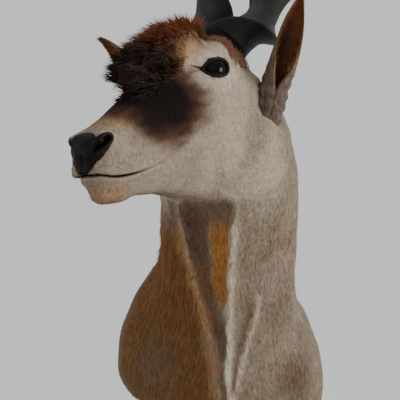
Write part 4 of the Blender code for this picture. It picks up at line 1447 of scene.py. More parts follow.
def ear_mesh(side):
    """The ear's rings from root to tip, with where each point lies on the shell stored."""
    line, sizes, _, open_way, across = ear_frames(side)
    rings = []
    inside = []
    around = []
    for i, (centre, (width, wrap, wall)) in enumerate(zip(line, sizes)):
        along = i / (EAR_RINGS - 1)
        outer = max(0.0014, width / 2 - 0.0004)
        inner = max(0.0006, outer - wall)
        stem = ramp(along, 0.55, 0.35)
        creases = STEM_WRINKLE * stem * (math.sin(along * 95) + 0.5 * math.sin(along * 41 + 1) - 1)
        way = 2 * np.arange(EAR_SIDES) / (EAR_SIDES - 1) - 1
        lip = 0.5 * (1 - np.abs(way)) ** 0.25 + 0.5
        halves = []
        for radius, order in ((outer + creases, 1), (inner, -1)):
            middle = (outer + inner) / 2
            radii = middle + (radius - middle) * (lip if wrap < 160 else 1.0)
            angle = math.radians(wrap) * way * order
            spoke = np.outer(-np.cos(angle), open_way[i]) + np.outer(np.sin(angle), across[i])
            halves.append(centre + spoke * np.broadcast_to(radii, way.shape)[:, None])
        rings.append(np.concatenate(halves))
        inside.append(np.repeat((0.0, 1.0), EAR_SIDES))
        around.append(np.concatenate([way, -way]) * side)
    mesh = mesh_of("ear", loft([from_head(ring) for ring in rings]))
    store(mesh, "inside", np.concatenate(inside))
    store(mesh, "around", np.concatenate(around))
    store(mesh, "up_ear", np.repeat(np.arange(EAR_RINGS) / (EAR_RINGS - 1), 2 * EAR_SIDES))
    return mesh


def ear_material():
    """Dried ear skin: mauve-grey and wrinkled on the stem, rust within, dark at the tip."""
    made, tree, shader = new_material("ear_skin", Roughness=0.8, Specular_IOR_Level=0.3)
    up, within, outward = (
        add_node(tree, ATTRIBUTE, {"attribute_name": name}).outputs["Fac"]
        for name in ("up_ear", "inside", "around")
    )
    blotch = pattern(tree, 9.0, 4.0)
    shares = {}
    for name, value, low, high, most in (
        ("back", up, 0.35, 0.60, 1.0),
        ("tip", up, 0.80, 0.97, 1.0),
        ("rust", outward, -0.15, 0.25, 1.0),
        ("upper", up, 0.62, 0.80, 1.0),
        ("blotch", blotch, 0.35, 0.7, 0.4),
        ("lower", up, 0.58, 0.50, 1.0),
        ("inner_rim", outward, -0.25, -0.50, 1.0),
        ("root", up, 0.46, 0.38, 1.0),
    ):
        inputs = {"Value": value, "From Min": low, "From Max": high, "To Max": most}
        shares[name] = add_node(tree, RANGE, {}, inputs).outputs["Result"]
    inputs = {0: shares["lower"], 1: shares["inner_rim"]}
    shares["gold"] = add_node(tree, MATHS, PRODUCT, inputs).outputs[0]
    back = add_node(tree, MIX, PLAIN, {0: blotch, 6: "#5c5048", 7: "#7b6e64"}).outputs[2]
    for name, shade in (("back", "#7c6348"), ("tip", "#3a2518")):
        back = add_node(tree, MIX, PLAIN, {0: shares[name], 6: back, 7: shade}).outputs[2]
    rust = "#3f2214"
    for name, shade in (
        ("rust", "#7c4825"),
        ("upper", "#6f3f22"),
        ("blotch", "#5a2f1a"),
        ("gold", "#8b6f3c"),
        ("root", "#1c100c"),
    ):
        rust = add_node(tree, MIX, PLAIN, {0: shares[name], 6: rust, 7: shade}).outputs[2]
    colour = add_node(tree, MIX, PLAIN, {0: within, 6: back, 7: rust}).outputs[2]
    streaks = pattern(tree, 3.0, 4.0, (1.0, 1.0, 0.15), (0.3, 0.7))
    grain = pattern(tree, 2.0, 4.0)
    rough = add_node(tree, BUMP, {}, {"Height": grain, "Distance": 0.0008, "Strength": 0.6})
    feed(tree, shader, {"Base Color": deepened(tree, colour, "#9c8f86", streaks)})
    feed(tree, shader, {"Normal": rough.outputs["Normal"]})
    return made


EAR_SKIN = ear_material()
for side, word in SIDES:
    add_piece(f"ear_{word}", f"cupped_ear_{word}", ear_mesh(side), EAR_SKIN)
print("ears:", 2 * EAR_RINGS * EAR_SIDES, "points each")

# %% [markdown]
# Long hair is built strand by strand: a three-sided blade of a few steps that leaves the skin,
# bends over into the lie and ends in a point. All strands of a piece are computed at once as
# arrays, which is quick, and each keeps the colours of the place it grows from.

# %% Strands of long hair
STRAND_STEPS = 5
STRAND_FLATNESS = 0.45

# Size of a strand's or tuft's patch on the UV map, and the line that the map is unrolled from
PATCH = 0.003
SPINE = np.array(
    (
        (0.000, 0.100, -0.020),
        (0.000, -0.060, 0.010),
        (0.003, -0.220, 0.080),
        (0.004, -0.330, 0.180),
        (-0.002, -0.420, 0.260),
        (-0.040, -0.520, 0.300),
        (-0.110, -0.660, 0.230),
        (-0.187, -0.820, 0.150),
    )
)


def unwrap(points):
    """Where a place on the hide lies on a flat pattern: angle about the spine, length along it."""
    share = near_line(points, SPINE)[1]
    at = share * (len(SPINE) - 1)
    k = np.minimum(at.astype(int), len(SPINE) - 2)
    spot = SPINE[k] + (SPINE[k + 1] - SPINE[k]) * (at - k)[:, None]
    ahead = unit_rows(np.gradient(SPINE, axis=0)[k])
    side = unit_rows(np.cross(ahead, (0.0, 0.35, 1.0)))
    over = np.cross(side, ahead)
    spoke = points - spot
    angle = np.arctan2((spoke * side).sum(1), (spoke * over).sum(1)) / (2 * math.pi) + 0.5
    return np.stack([0.01 + 0.98 * angle, 0.01 + 0.98 * share], axis=1)


def add_patches(mesh, patches):
    """Writes the UV map that carries each strand or tuft as a small patch at its root's place."""
    layer = mesh.uv_layers.new(name="OFBake")
    corners = np.empty(len(mesh.loops), np.int32)
    mesh.loops.foreach_get("vertex_index", corners)
    layer.data.foreach_set("uv", patches[corners].astype(np.float32).ravel())


def strand_mesh(name, roots, out, lie, length, width, lift, curl, sink):
    """One mesh of tapered strands, an array row for each, rooted this deep in the skin."""
    count = len(roots)
    spot = roots - out * sink
    rings = []
    step = ((length + sink) / STRAND_STEPS)[:, None]
    for i in range(STRAND_STEPS + 1):
        share = i / STRAND_STEPS
        ahead = unit_rows(lie + out * (lift * (1.4 - 1.1 * share))[:, None] + curl * share)
        across = np.cross(ahead, out)
        across /= np.linalg.norm(across, axis=1)[:, None] + 1e-9
        over = np.cross(across, ahead)
        half = (0.5 * width * (1 - share**1.6))[:, None]
        if i < STRAND_STEPS:
            proud = over * half * STRAND_FLATNESS
            ring = [spot + across * half, spot + proud, spot - across * half]
        else:
            ring = [spot]
        rings.append(np.stack(ring, axis=1))
        spot = spot + ahead * step
    points = np.concatenate(rings, axis=1)
    per = points.shape[1]
    faces = [(0, 1, 2)]
    for i in range(STRAND_STEPS - 1):
        a, b = 3 * i, 3 * i + 3
        for j in range(3):
            k = (j + 1) % 3
            faces += [(a + k, a + j, b + k), (b + k, a + j, b + j)]
    tip, last = per - 1, per - 4
    faces += [(last + 1, last, tip), (last + 2, last + 1, tip), (last, last + 2, tip)]
    faces = np.array(faces)[None] + (np.arange(count) * per)[:, None, None]
    mesh = bpy.data.meshes.new(name)
    mesh.vertices.add(count * per)
    mesh.vertices.foreach_set("co", points.astype(np.float32).ravel())
    faces = faces.reshape(-1, 3)
    mesh.loops.add(faces.size)
    mesh.loops.foreach_set("vertex_index", faces.astype(np.int32).ravel())
    mesh.polygons.add(len(faces))
    mesh.polygons.foreach_set("loop_start", np.arange(0, faces.size, 3, dtype=np.int32))
    mesh.update(calc_edges=True)
    across = np.tile((0.0, 0.5, 1.0), STRAND_STEPS + 1)[:per]
    local = np.stack([across, np.arange(per) / per], axis=1)
    patches = unwrap(roots)[:, None, :] + PATCH * (local[None] - 0.5)
    add_patches(mesh, patches.reshape(-1, 2))
    shade_smooth(mesh)
    return mesh


def spread_over(values, mesh, count):
    """Stores named values, one for each strand, on all points of the strand."""
    per = len(mesh.vertices) // count
    for name, value in values.items():
        store(mesh, name, np.repeat(value, per, axis=0))


print("points a strand:", 3 * STRAND_STEPS + 1)

# %% [markdown]
# The lie of the coat is one direction for every place: back along the face, down the neck, down
# and back over the chest, and forward over the brow where the forelock is brushed. Tufts, chin
# hairs and throat wisps all read it, so they agree. Roots are drawn over the skin's faces from a
# fixed seed.

# %% Lie of the coat and scattered roots
NECK_WAY = unit(np.array((0.02, 0.46, -0.62)))
CHEST_WAY = np.array((0.0, 0.30, -0.95))
SCATTER_SEED = 11


def lie_of(points, normals):
    """Unit direction of the hair at world points, lying in the skin."""
    spots = in_head(points)
    face = left_half(spots)
    head = ramp(spots[:, 1], 0.43, 0.33) * ramp(spots[:, 2], -0.10, -0.05)
    brow = ramp(face[:, 2] - 0.40 * (spots[:, 1] - 0.2), 0.105, 0.135)
    brow = ramp(spots[:, 1], 0.14, 0.20) * brow
    low = ramp(spots[:, 2], 0.09, 0.0)
    side = np.sign(spots[:, 0])
    one = np.ones_like(side)
    back = np.stack([0.1 * side, one, -0.15 - 0.5 * low], axis=1)
    fore = np.stack([0.55 * side * ramp(face[:, 0], 0, 0.05), -one, 0.1 * one], axis=1)
    head_way = (back * (1 - brow)[:, None] + fore * brow[:, None]) @ HEAD_AXES.T
    chest = ramp(points[:, 1], -0.36, -0.18)
    body_way = NECK_WAY * (1 - chest)[:, None] + CHEST_WAY * chest[:, None]
    body_way[:, 0] += 0.16 * points[:, 0] / 0.15
    body_way[:, 1] *= ramp(-points[:, 1], 0.01, 0.05)
    way = head_way * head[:, None] + body_way * (1 - head)[:, None]
    way = laid_on(way + 0.22 * wander_3d(points, 0.07, 21), normals)
    return way / (np.linalg.norm(way, axis=1)[:, None] + 1e-9)


def triangles_of(mesh):
    mesh.calc_loop_triangles()
    faces = np.empty(len(mesh.loop_triangles) * 3, np.int32)
    mesh.loop_triangles.foreach_get("vertices", faces)
    return faces.reshape(-1, 3)


SKIN_POINTS = points_of(skin.data)
SKIN_NORMALS = normals_of(skin.data)
SKIN_FACES = triangles_of(skin.data)
SKIN_SPOTS = in_head(SKIN_POINTS)
LIE = lie_of(SKIN_POINTS, SKIN_NORMALS)
store(skin.data, "lie", LIE)


def at_roots(values, corners, shares):
    """Vectors of the skin's points at roots between the three corners of a face."""
    return (values[corners] * shares[..., None]).sum(1)


def scatter(chance_of, count, seed):
    """Roots drawn over the skin in proportion to area times the chance at the faces' corners."""
    chance = np.random.default_rng(seed)
    a, b, c = (SKIN_POINTS[SKIN_FACES[:, i]] for i in range(3))
    area = np.linalg.norm(np.cross(b - a, c - a), axis=1) / 2
    weight = area * chance_of[SKIN_FACES].mean(1)
    picked = chance.choice(len(SKIN_FACES), count, p=weight / weight.sum())
    r = np.sqrt(chance.random(count))
    t = chance.random(count)
    shares = np.stack([1 - r, r * (1 - t), r * t], axis=1)
    corners = SKIN_FACES[picked]
    root = at_roots(SKIN_POINTS, corners, shares)
    return root, unit_rows(at_roots(SKIN_NORMALS, corners, shares)), corners, shares


print("skin faces:", len(SKIN_FACES))

# %% [markdown]
# Over the brow a giant eland wears a brush of coarse hair that stands up and falls to both sides.
# It's made of strands: long ones along the crest, and shorter ones that climb the slopes to meet
# them. Tufts would be too short and too much alike for it.

# %% Forelock
FORELOCK_STRANDS = 6600
LONG_HAIR = (0.024, 0.043)
SHORT_HAIR = (0.009, 0.017)
BRISTLE_WIDTH = (0.0010, 0.0018)

# Half width of the crest at places along the head
CREST_AT = (0.13, 0.17, 0.21, 0.26, 0.32, 0.40)
CREST_HALF = (0.030, 0.052, 0.046, 0.034, 0.028, 0.026)


def forelock():
    """The bristling brush over the brow, and the short hair swept up to it on both slopes."""
    face = left_half(SKIN_SPOTS)
    base = face[:, 2] - (0.162 + 0.344 * (face[:, 1] - 0.236))
    grows = ramp(base, -0.040, -0.014) * ramp(face[:, 1], 0.128, 0.150)
    grows *= ramp(face[:, 1], 0.425, 0.400)
    grows *= ramp(distance(face, EYE_CENTRE), 0.036, 0.046)
    root, out, corners, shares = scatter(grows, FORELOCK_STRANDS, SCATTER_SEED)
    chance = np.random.default_rng(SCATTER_SEED + 1)
    count = len(root)
    spots = in_head(root)
    aside = np.abs(spots[:, 0]) + chance.normal(scale=0.004, size=count)
    half = np.interp(spots[:, 1], CREST_AT, CREST_HALF)
    slope = ramp(aside - half, -0.006, 0.006)
    foot = blob(np.abs(spots), (0.046, 0.372, 0.165), (0.036, 0.034, 0.034), 0.4)
    low = ramp(spots[:, 1], 0.20, 0.14)
    rear = ramp(spots[:, 1], 0.30, 0.39)
    side = spots[:, 0] / 0.06
    crest_way = np.stack([0.75 * side, -1.0 + 0 * side, 0.10 + 0 * side], axis=1)
    slope_way = np.stack([-0.45 * np.sign(side), -1.0 + 0 * side, 0.45 + 0 * side], axis=1)
    way = crest_way * (1 - slope)[:, None] + slope_way * slope[:, None]
    way = unit_rows(laid_on(way @ HEAD_AXES.T + 0.24 * wander_3d(root, 0.022, 31), out))
    lift = 0.52 * chance.uniform(0.6, 1.35, count) * (1 - 0.30 * low) * (1 - 0.25 * rear)
    lift = lift * (1 - slope) + 0.20 * slope
    length = chance.uniform(*LONG_HAIR, count) * (1 - 0.30 * rear) * (1 - 0.15 * low)
    length = length * (1 - slope) + chance.uniform(*SHORT_HAIR, count) * slope
    length *= 0.45 + 0.55 * (grows[corners] * shares).sum(1)
    width = chance.uniform(*BRISTLE_WIDTH, count)
    curl = chance.normal(scale=0.20, size=root.shape)
    mesh = strand_mesh("forelock", root, out, way, length, width, lift, curl, sink=0.003)
    dark = ramp(spots[:, 1], 0.245, 0.175) + 0.6 * ramp(spots[:, 0], -0.01, -0.045)
    dark += 0.5 * ramp(aside - half, -0.020, -0.004) * ramp(spots[:, 1], 0.30, 0.24)
    dark = np.clip(dark * (1 - slope) + 0.45 * foot + chance.normal(scale=0.18, size=count), 0, 1)
    tan = slope * (1 - foot) * np.clip(0.85 + chance.normal(scale=0.25, size=count), 0, 1)
    tone = chance.random(count) ** 1.5
    spread_over({"dark": dark * (1 - 0.6 * slope), "tan": tan, "tone": tone}, mesh, count)
    return mesh


add_piece("forelock", "forelock", forelock(), BRISTLE)
print("forelock triangles:", len(PIECES["forelock"].data.polygons))

# %% [markdown]
# A few long hairs finish the edges that a short coat leaves bare: a fringe in the mouth of each
# ear, lashes on the upper lids, sparse hairs on lips and chin, wisps down the folds of the throat,
# and a collar of hair that hides where each horn leaves the skin. All are the same strands as the
# forelock.

# %% Fringes, lashes and wisps
EAR_HAIRS = 700
LASHES = 34
CHIN_HAIRS = 70
WISPS = 1500
HORN_TUFTS = 950
WISP_LINE = (
    (-0.060, -0.540, 0.185),
    (-0.048, -0.500, 0.150),
    (-0.040, -0.460, 0.110),
    (-0.030, -0.420, 0.062),
    (-0.022, -0.400, 0.035),
    (-0.014, -0.372, -0.018),
    (-0.012, -0.355, -0.050),
)


def long_hair(name, rooted, sizes, lift, dark, tan, seed):
    """A piece of loose strands, rooted by place, outward and way. Sizes: two lengths, a width."""
    root, out, way = rooted
    chance = np.random.default_rng(seed)
    count = len(root)
    way = unit_rows(laid_on(way, out))
    length = chance.uniform(sizes[0], sizes[1], count)
    width = sizes[2] * chance.uniform(0.7, 1.2, count)
    rise = lift * chance.uniform(0.5, 1.5, count)
    curl = chance.normal(scale=0.15, size=root.shape)
    mesh = strand_mesh(name, root, out, way, length, width, rise, curl, sink=0.0015)
    shades = {"dark": dark + chance.normal(scale=0.15, size=count), "tan": np.full(count, tan)}
    shades = {key: np.clip(value, 0, 1) for key, value in shades.items()}
    spread_over({**shades, "tone": chance.random(count) ** 1.5}, mesh, count)
    add_piece(name, name, mesh, BRISTLE)
    print(name, count, "hairs")


def ear_hair(side):
    """Hair rooted just inside both rims of the cup, leaning up and over the opening."""
    chance = np.random.default_rng(SCATTER_SEED + 3)
    line, sizes, ahead, open_way, across = ear_frames(side)
    pick = chance.integers(int(0.47 * EAR_RINGS), int(0.95 * EAR_RINGS), EAR_HAIRS)
    width, wrap, wall = sizes[pick].T
    edge = np.sign(chance.uniform(-1, 1, EAR_HAIRS))
    angle = np.radians(wrap) * edge * chance.uniform(0.72, 0.97, EAR_HAIRS)
    away = -np.cos(angle)[:, None] * open_way[pick] + np.sin(angle)[:, None] * across[pick]
    inner = np.maximum(0.0008, width / 2 - wall)
    root = line[pick] + away * inner[:, None]
    way = ahead[pick] * 1.0 + open_way[pick] * 0.35 - across[pick] * (0.35 * edge)[:, None]
    return from_head(root), -away @ HEAD_AXES.T, way @ HEAD_AXES.T


def lashes(side):
    """A row of stiff dark hairs along the upper lid."""
    line, way = rim_line(side, LID_RADIUS + 0.0012)
    picked = (np.linspace(0.06, 0.44, LASHES) * RIM_STEPS).astype(int)
    down = np.tile(HEAD_AXES @ (0.0, 0.45, -0.6), (LASHES, 1))
    return from_head(line)[picked], (way @ HEAD_AXES.T)[picked], down


def along_lie(field, count, seed):
    """Roots scattered by a field, their hair following the lie of the coat."""
    root, out, corners, shares = scatter(field, count, seed)
    return root, out, at_roots(LIE, corners, shares)


def horn_collar(side):
    """Hair round the foot of a horn, leaning up it."""
    rise, foot = horn_way(side), by_side(HORN_FOOT[side], side)
    gap = near_line(SKIN_SPOTS, (foot - rise * 0.03, foot + rise * 0.03))[0] - HORN_RADIUS
    field = ramp(gap, -0.002, 0.003) * ramp(gap, 0.022, 0.010)
    root, out, _, _ = scatter(field, HORN_TUFTS, 45)
    return root, out, np.tile(HEAD_AXES @ (rise * 0.8 + (0, -0.5, 0)), (HORN_TUFTS, 1))


for side, word in SIDES:
    sizes = (0.007, 0.013, 0.0008)
    long_hair(f"ear_hair_{word}", ear_hair(side), sizes, 0.25, 0.35, 0.45, 41)
    long_hair(f"lashes_{word}", lashes(side), (0.006, 0.010, 0.0006), 1.5, 1.0, 0.0, 42)
mirrored = left_half(SKIN_SPOTS)
lower = ramp(mirrored[:, 1], 0.085, 0.055) * ramp(mirrored[:, 2], -0.002, -0.008)
lower += 0.6 * blob(mirrored, (0.030, 0.060, 0.020), (0.016, 0.030, 0.012))
rooted = along_lie(lower * (1 - MARKS["pad"]), CHIN_HAIRS, 43)
long_hair("chin_hair", rooted, (0.006, 0.014, 0.0005), 0.5, 0.8, 0.0, 43)
rooted = along_lie(bell(near_line(SKIN_POINTS, WISP_LINE)[0], 0.0075), WISPS, 44)
long_hair("throat_wisps", rooted, (0.010, 0.020, 0.0010), 0.22, 0.20, 0.55, 44)
for side, word in SIDES:
    sizes = (0.010, 0.017, 0.0013)
    long_hair(f"horn_tuft_{word}", horn_collar(side), sizes, 0.55, 0.50, 0.15, 45 + side)

# %% [markdown]
# The short coat is thousands of small tufts. Geometry Nodes scatters them over the skin by a
# stored chance, lays each along the lie, varies its size, and turns the copies into real mesh. The
# tree is built here with named inputs, so one tree serves every region of the coat.

# %% Tuft and scattering tree
TUFT_BLADES = (((0.0, 0.0), 0.0, 1.0), ((0.9, 0.4), 0.10, 0.85), ((-0.8, -0.3), -0.09, 0.92))
TUFT_WIDTH = 0.12
TUFT_BEND = 0.10
TUFT_ROOT = -0.06
COAT_SEED = 5

# How far tufts vary: tone, lift, turn about their length, lean sideways, length and width
CHANCES = {
    "tone": (0.0, 1.0),
    "lift": (0.4, 1.6),
    "turn": (-0.35, 0.35),
    "lean": (-0.16, 0.16),
    "length": (0.7, 1.25),
    "width": (0.8, 1.2),
}


def tuft_mesh():
    """Three thin blades about one unit long along Z; X is the width across, Y faces outward."""
    points = []
    faces = []
    local = []
    for (x, y), lean, tall in TUFT_BLADES:
        a = len(points)
        for across, over in ((-0.5, 0.0), (0.0, 0.3), (0.5, 0.0)):
            points.append(((x + across) * TUFT_WIDTH, (y + over) * TUFT_WIDTH, TUFT_ROOT))
            local.append((across + 0.5, 0.0))
        points.append((x * TUFT_WIDTH + lean * tall, y * TUFT_WIDTH - TUFT_BEND, tall))
        local.append((0.5, 1.0))
        faces += [(a, a + 1, a + 2), (a + 1, a, a + 3), (a + 2, a + 1, a + 3), (a, a + 2, a + 3)]
    mesh = bpy.data.meshes.new("tuft")
    mesh.from_pydata(points, [], faces)
    mesh.update()
    store(mesh, "patch", np.array([(u, v, 0.0) for u, v in local]))
    shade_smooth(mesh)
    return mesh


def coat_tree():
    """Scatter, align, vary, realize: returns the tree and its input sockets by name."""
    tree = bpy.data.node_groups.new("short_coat", "GeometryNodeTree")
    sockets = {}
    for name, kind in (
        ("Geometry", "NodeSocketGeometry"),
        ("Tuft", "NodeSocketObject"),
        ("Density", "NodeSocketFloat"),
        ("Seed", "NodeSocketInt"),
        ("Material", "NodeSocketMaterial"),
    ):
        made = tree.interface.new_socket(name, in_out="INPUT", socket_type=kind)
        sockets[name] = made.identifier
    tree.interface.new_socket("Geometry", in_out="OUTPUT", socket_type="NodeSocketGeometry")
    entry = add_node(tree, "NodeGroupInput").outputs

    # What the skin stores at each point, and a chance of its own for each use
    stored = {}
    for name in ("share", "length", "width", "lift", "lie", "out"):
        settings = {"data_type": "FLOAT_VECTOR" if name in ("lie", "out") else "FLOAT"}
        node = add_node(tree, "GeometryNodeInputNamedAttribute", settings, {"Name": name})
        stored[name] = node.outputs["Attribute"]
    chances = {}
    for number, (name, limits) in enumerate(CHANCES.items(), 1):
        inputs = {0: entry["Seed"], 1: number}
        seed = add_node(tree, MATHS, {"operation": "ADD"}, inputs).outputs[0]
        settings = {"data_type": "FLOAT"}
        node = add_node(tree, "FunctionNodeRandomValue", settings, {"Seed": seed})
        for key, limit in zip(("Min", "Max"), limits):
            socket = next(s for s in node.inputs if s.name == key and s.type == "VALUE")
            socket.default_value = limit
        chances[name] = next(s for s in node.outputs if s.type == "VALUE")
    varied = {}
    for name in ("lift", "length", "width"):
        inputs = {0: stored[name], 1: chances[name]}
        varied[name] = add_node(tree, MATHS, PRODUCT, inputs).outputs[0]

    # Roots, and what each keeps of its place
    inputs = {0: stored["share"], 1: entry["Density"]}
    density = add_node(tree, MATHS, PRODUCT, inputs).outputs[0]
    roots = add_node(
        tree,
        "GeometryNodeDistributePointsOnFaces",
        {"distribute_method": "RANDOM", "use_legacy_normal": False},
        {"Mesh": entry["Geometry"], "Density": density, "Seed": entry["Seed"]},
    )
    points = roots.outputs["Points"]
    position = add_node(tree, "GeometryNodeInputPosition").outputs["Position"]
    for name, kind, value in (
        ("root", "FLOAT_VECTOR", position),
        ("out", "FLOAT_VECTOR", roots.outputs["Normal"]),
        ("tone", "FLOAT", chances["tone"]),
    ):
        settings = {"data_type": kind, "domain": "POINT"}
        inputs = {"Geometry": points, "Name": name, "Value": value}
        points = add_node(tree, "GeometryNodeStoreNamedAttribute", settings, inputs)
        points = points.outputs["Geometry"]

    # Each tuft lies along the lie, raised a little, its face outward, then turned and leant
    inputs = {0: stored["out"], "Scale": varied["lift"]}
    raised = add_node(tree, "ShaderNodeVectorMath", {"operation": "SCALE"}, inputs)
    inputs = {0: stored["lie"], 1: raised.outputs["Vector"]}
    way = add_node(tree, "ShaderNodeVectorMath", {"operation": "ADD"}, inputs)
    inputs = {"Vector": way.outputs["Vector"]}
    along = add_node(tree, "FunctionNodeAlignRotationToVector", {"axis": "Z"}, inputs)
    settings = {"axis": "Y", "pivot_axis": "Z"}
    inputs = {"Rotation": along.outputs["Rotation"], "Vector": stored["out"]}
    faced = add_node(tree, "FunctionNodeAlignRotationToVector", settings, inputs)
    inputs = {"Y": chances["lean"], "Z": chances["turn"]}
    angles = add_node(tree, "ShaderNodeCombineXYZ", {}, inputs).outputs["Vector"]
    turn = add_node(tree, "FunctionNodeEulerToRotation", {}, {"Euler": angles})
    settings = {"rotation_space": "LOCAL"}
    inputs = {"Rotation": faced.outputs["Rotation"], "Rotate By": turn.outputs["Rotation"]}
    spun = add_node(tree, "FunctionNodeRotateRotation", settings, inputs)

    # Copies of the tuft in their own sizes, made real
    inputs = {"X": varied["width"], "Y": varied["width"], "Z": varied["length"]}
    scale = add_node(tree, "ShaderNodeCombineXYZ", {}, inputs)
    settings = {"transform_space": "ORIGINAL"}
    tuft = add_node(tree, "GeometryNodeObjectInfo", settings, {"Object": entry["Tuft"]})
    inputs = {
        "Points": points,
        "Instance": tuft.outputs["Geometry"],
        "Rotation": spun.outputs["Rotation"],
        "Scale": scale.outputs["Vector"],
    }
    copies = add_node(tree, "GeometryNodeInstanceOnPoints", {}, inputs)
    inputs = {"Geometry": copies.outputs["Instances"]}
    real = add_node(tree, "GeometryNodeRealizeInstances", {}, inputs)
    inputs = {"Geometry": real.outputs["Geometry"], "Material": entry["Material"]}
    dressed = add_node(tree, "GeometryNodeSetMaterial", {}, inputs)
    add_node(tree, "NodeGroupOutput", {}, {"Geometry": dressed.outputs["Geometry"]})
    return tree, sockets


COAT_TREE, COAT_SOCKETS = coat_tree()
tuft = add_object("tuft", tuft_mesh())
tuft.hide_render = True
print("triangles a tuft:", len(triangles_of(tuft.data)))

# %% [markdown]
# Length and density change over the animal: about three millimetres on the muzzle, five on the
# cheek, fifteen on neck and chest, and over twenty on the brown flank. The coat is cut into
# regions to keep each piece light. The chance fields of neighbouring regions add up to one, so no
# line shows.

# %% Short coat by region
TUFTS_PER_M2 = 82000
HEAD_TUFTS_SHARE = 2.4
MOST_TRIANGLES = 200000
SKIN_SHADING = 0.82
HEAD_LENGTH = 0.011
BODY_LENGTH_MORE = 0.004
TUFT_THICKNESS = 0.010
WALL_GAP = 0.0004


def coat_sizes():
    """Length, width, lift and chance of tufts at each point of the skin."""
    face = left_half(SKIN_SPOTS)
    head = ramp(SKIN_SPOTS[:, 1], 0.43, 0.35) * ramp(SKIN_SPOTS[:, 2], -0.11, -0.06)
    length = HEAD_LENGTH + BODY_LENGTH_MORE * (1 - head)
    muzzle = ramp(SKIN_SPOTS[:, 1], 0.20, 0.04)
    length = length * (1 - 0.55 * head) * (1 - 0.35 * muzzle * head)
    flank = MARKS["brown"] * ramp(-SKIN_POINTS[:, 1], 0.20, 0.32) * (1 - head)
    length = length * (1 + 0.5 * flank)
    lift = 0.10 + 0.06 * (1 - head) + 0.10 * flank
    eye_gap = distance(face, EYE_CENTRE)
    bare = np.where((eye_gap < 0.034) & (lid_opening(face) < 1.22), 1.0, MARKS["pad"])
    bare = np.maximum(bare, ramp(near_line(face, LIP_PATH)[0], 0.0056, 0.0042) * head)
    length = length * (1 - 0.55 * ramp(eye_gap, 0.050, 0.028))
    off_wall = (SKIN_POINTS[:, 1] < -0.006) & (SKIN_NORMALS[:, 1] < 0.6)
    chance = (1 - bare) * (1 + (HEAD_TUFTS_SHARE - 1) * head) * off_wall
    return {
        "length": length,
        "width": TUFT_THICKNESS * (1 - 0.35 * head),
        "lift": lift,
        "share": chance,
    }


def coat_regions():
    """Names and chance fields, which add up to one everywhere."""
    head = ramp(SKIN_SPOTS[:, 1], 0.42, 0.36) * ramp(SKIN_SPOTS[:, 2], -0.10, -0.07)
    left = ramp(SKIN_SPOTS[:, 0], -0.004, 0.004)
    fore = ramp(SKIN_SPOTS[:, 1], 0.206, 0.198)
    body_left = ramp(SKIN_POINTS[:, 0], -0.010, 0.010)
    neck = ramp(SKIN_POINTS[:, 2] - SKIN_POINTS[:, 1], 0.36, 0.38)
    upper = ramp(SKIN_POINTS[:, 2], -0.06, -0.04)
    return {
        "muzzle_left": head * left * fore,
        "muzzle_right": head * (1 - left) * fore,
        "cheek_left": head * left * (1 - fore),
        "cheek_right": head * (1 - left) * (1 - fore),
        "neck_left": (1 - head) * body_left * neck,
        "neck_right": (1 - head) * (1 - body_left) * neck,
        "breast_left": (1 - head) * body_left * (1 - neck) * upper,
        "breast_right": (1 - head) * (1 - body_left) * (1 - neck) * upper,
        "chest_left": (1 - head) * body_left * (1 - neck) * (1 - upper),
        "chest_right": (1 - head) * (1 - body_left) * (1 - neck) * (1 - upper),
    }


COAT_SIZES = coat_sizes()
SKIN_NOTES = ("lie", *COAT_SIZES)


def forget(mesh, *names):
    """Drops stored values that nothing reads any more."""
    for name in names:
        if name in mesh.attributes:
            mesh.attributes.remove(mesh.attributes[name])


def stop_at_wall(mesh):
    """Hair that would run past the wall lies flat against it."""
    points = points_of(mesh)
    points[:, 1] = np.minimum(points[:, 1], -WALL_GAP)
    set_points(mesh, points)


def blend_normals(mesh):
    """Turns the tufts' shading towards the skin's, as a sleek coat shades as one surface."""
    skin_way = rows_of(mesh.attributes["out"].data, "vector")
    blended = unit_rows(SKIN_SHADING * skin_way + (1 - SKIN_SHADING) * normals_of(mesh))
    shade_smooth(mesh)
    mesh.normals_split_custom_set_from_vertices(blended.tolist())


def grow_coat(name, seed):
    """Runs the tree on a copy of the skin and returns the tufts as one plain mesh object."""
    field = add_object(name, skin.data.copy())
    grown = field.modifiers.new("coat", "NODES")
    grown.node_group = COAT_TREE
    inputs = {"Tuft": tuft, "Density": TUFTS_PER_M2, "Seed": seed, "Material": FUR}
    for key, value in inputs.items():
        grown[COAT_SOCKETS[key]] = value
    bpy.context.view_layer.update()
    apply_modifiers(field)
    mesh = field.data
    mesh.materials.clear()
    mesh.materials.append(FUR)
    mesh.polygons.foreach_set("material_index", np.zeros(len(mesh.polygons), np.int32))
    patches = unwrap(rows_of(mesh.attributes["root"].data, "vector").astype(float))
    local = rows_of(mesh.attributes["patch"].data, "vector")
    add_patches(mesh, patches + PATCH * (local[:, :2] - 0.5))
    stop_at_wall(mesh)
    blend_normals(mesh)
    forget(mesh, "root", "patch", "out", *SKIN_NOTES)
    triangles = len(triangles_of(mesh))
    print(name, triangles, "triangles")
    if triangles > MOST_TRIANGLES:
        raise ValueError(f"{name} is over {MOST_TRIANGLES} triangles")
    return field


for name, values in COAT_SIZES.items():
    store(skin.data, name, values)
COAT = []
for number, (name, region) in enumerate(coat_regions().items()):
    share = (region * COAT_SIZES["share"]).astype(np.float32)
    skin.data.attributes["share"].data.foreach_set("value", share)
    COAT.append(grow_coat(f"coat_{name}", COAT_SEED + 10 * number))
bpy.data.objects.remove(tuft)

# %% [markdown]
# The skin needed small faces for its carving and for the chance fields of the coat. Once the coat
# stands, most of it is hidden, so it's thinned where it is nearly flat and keeps its folds.

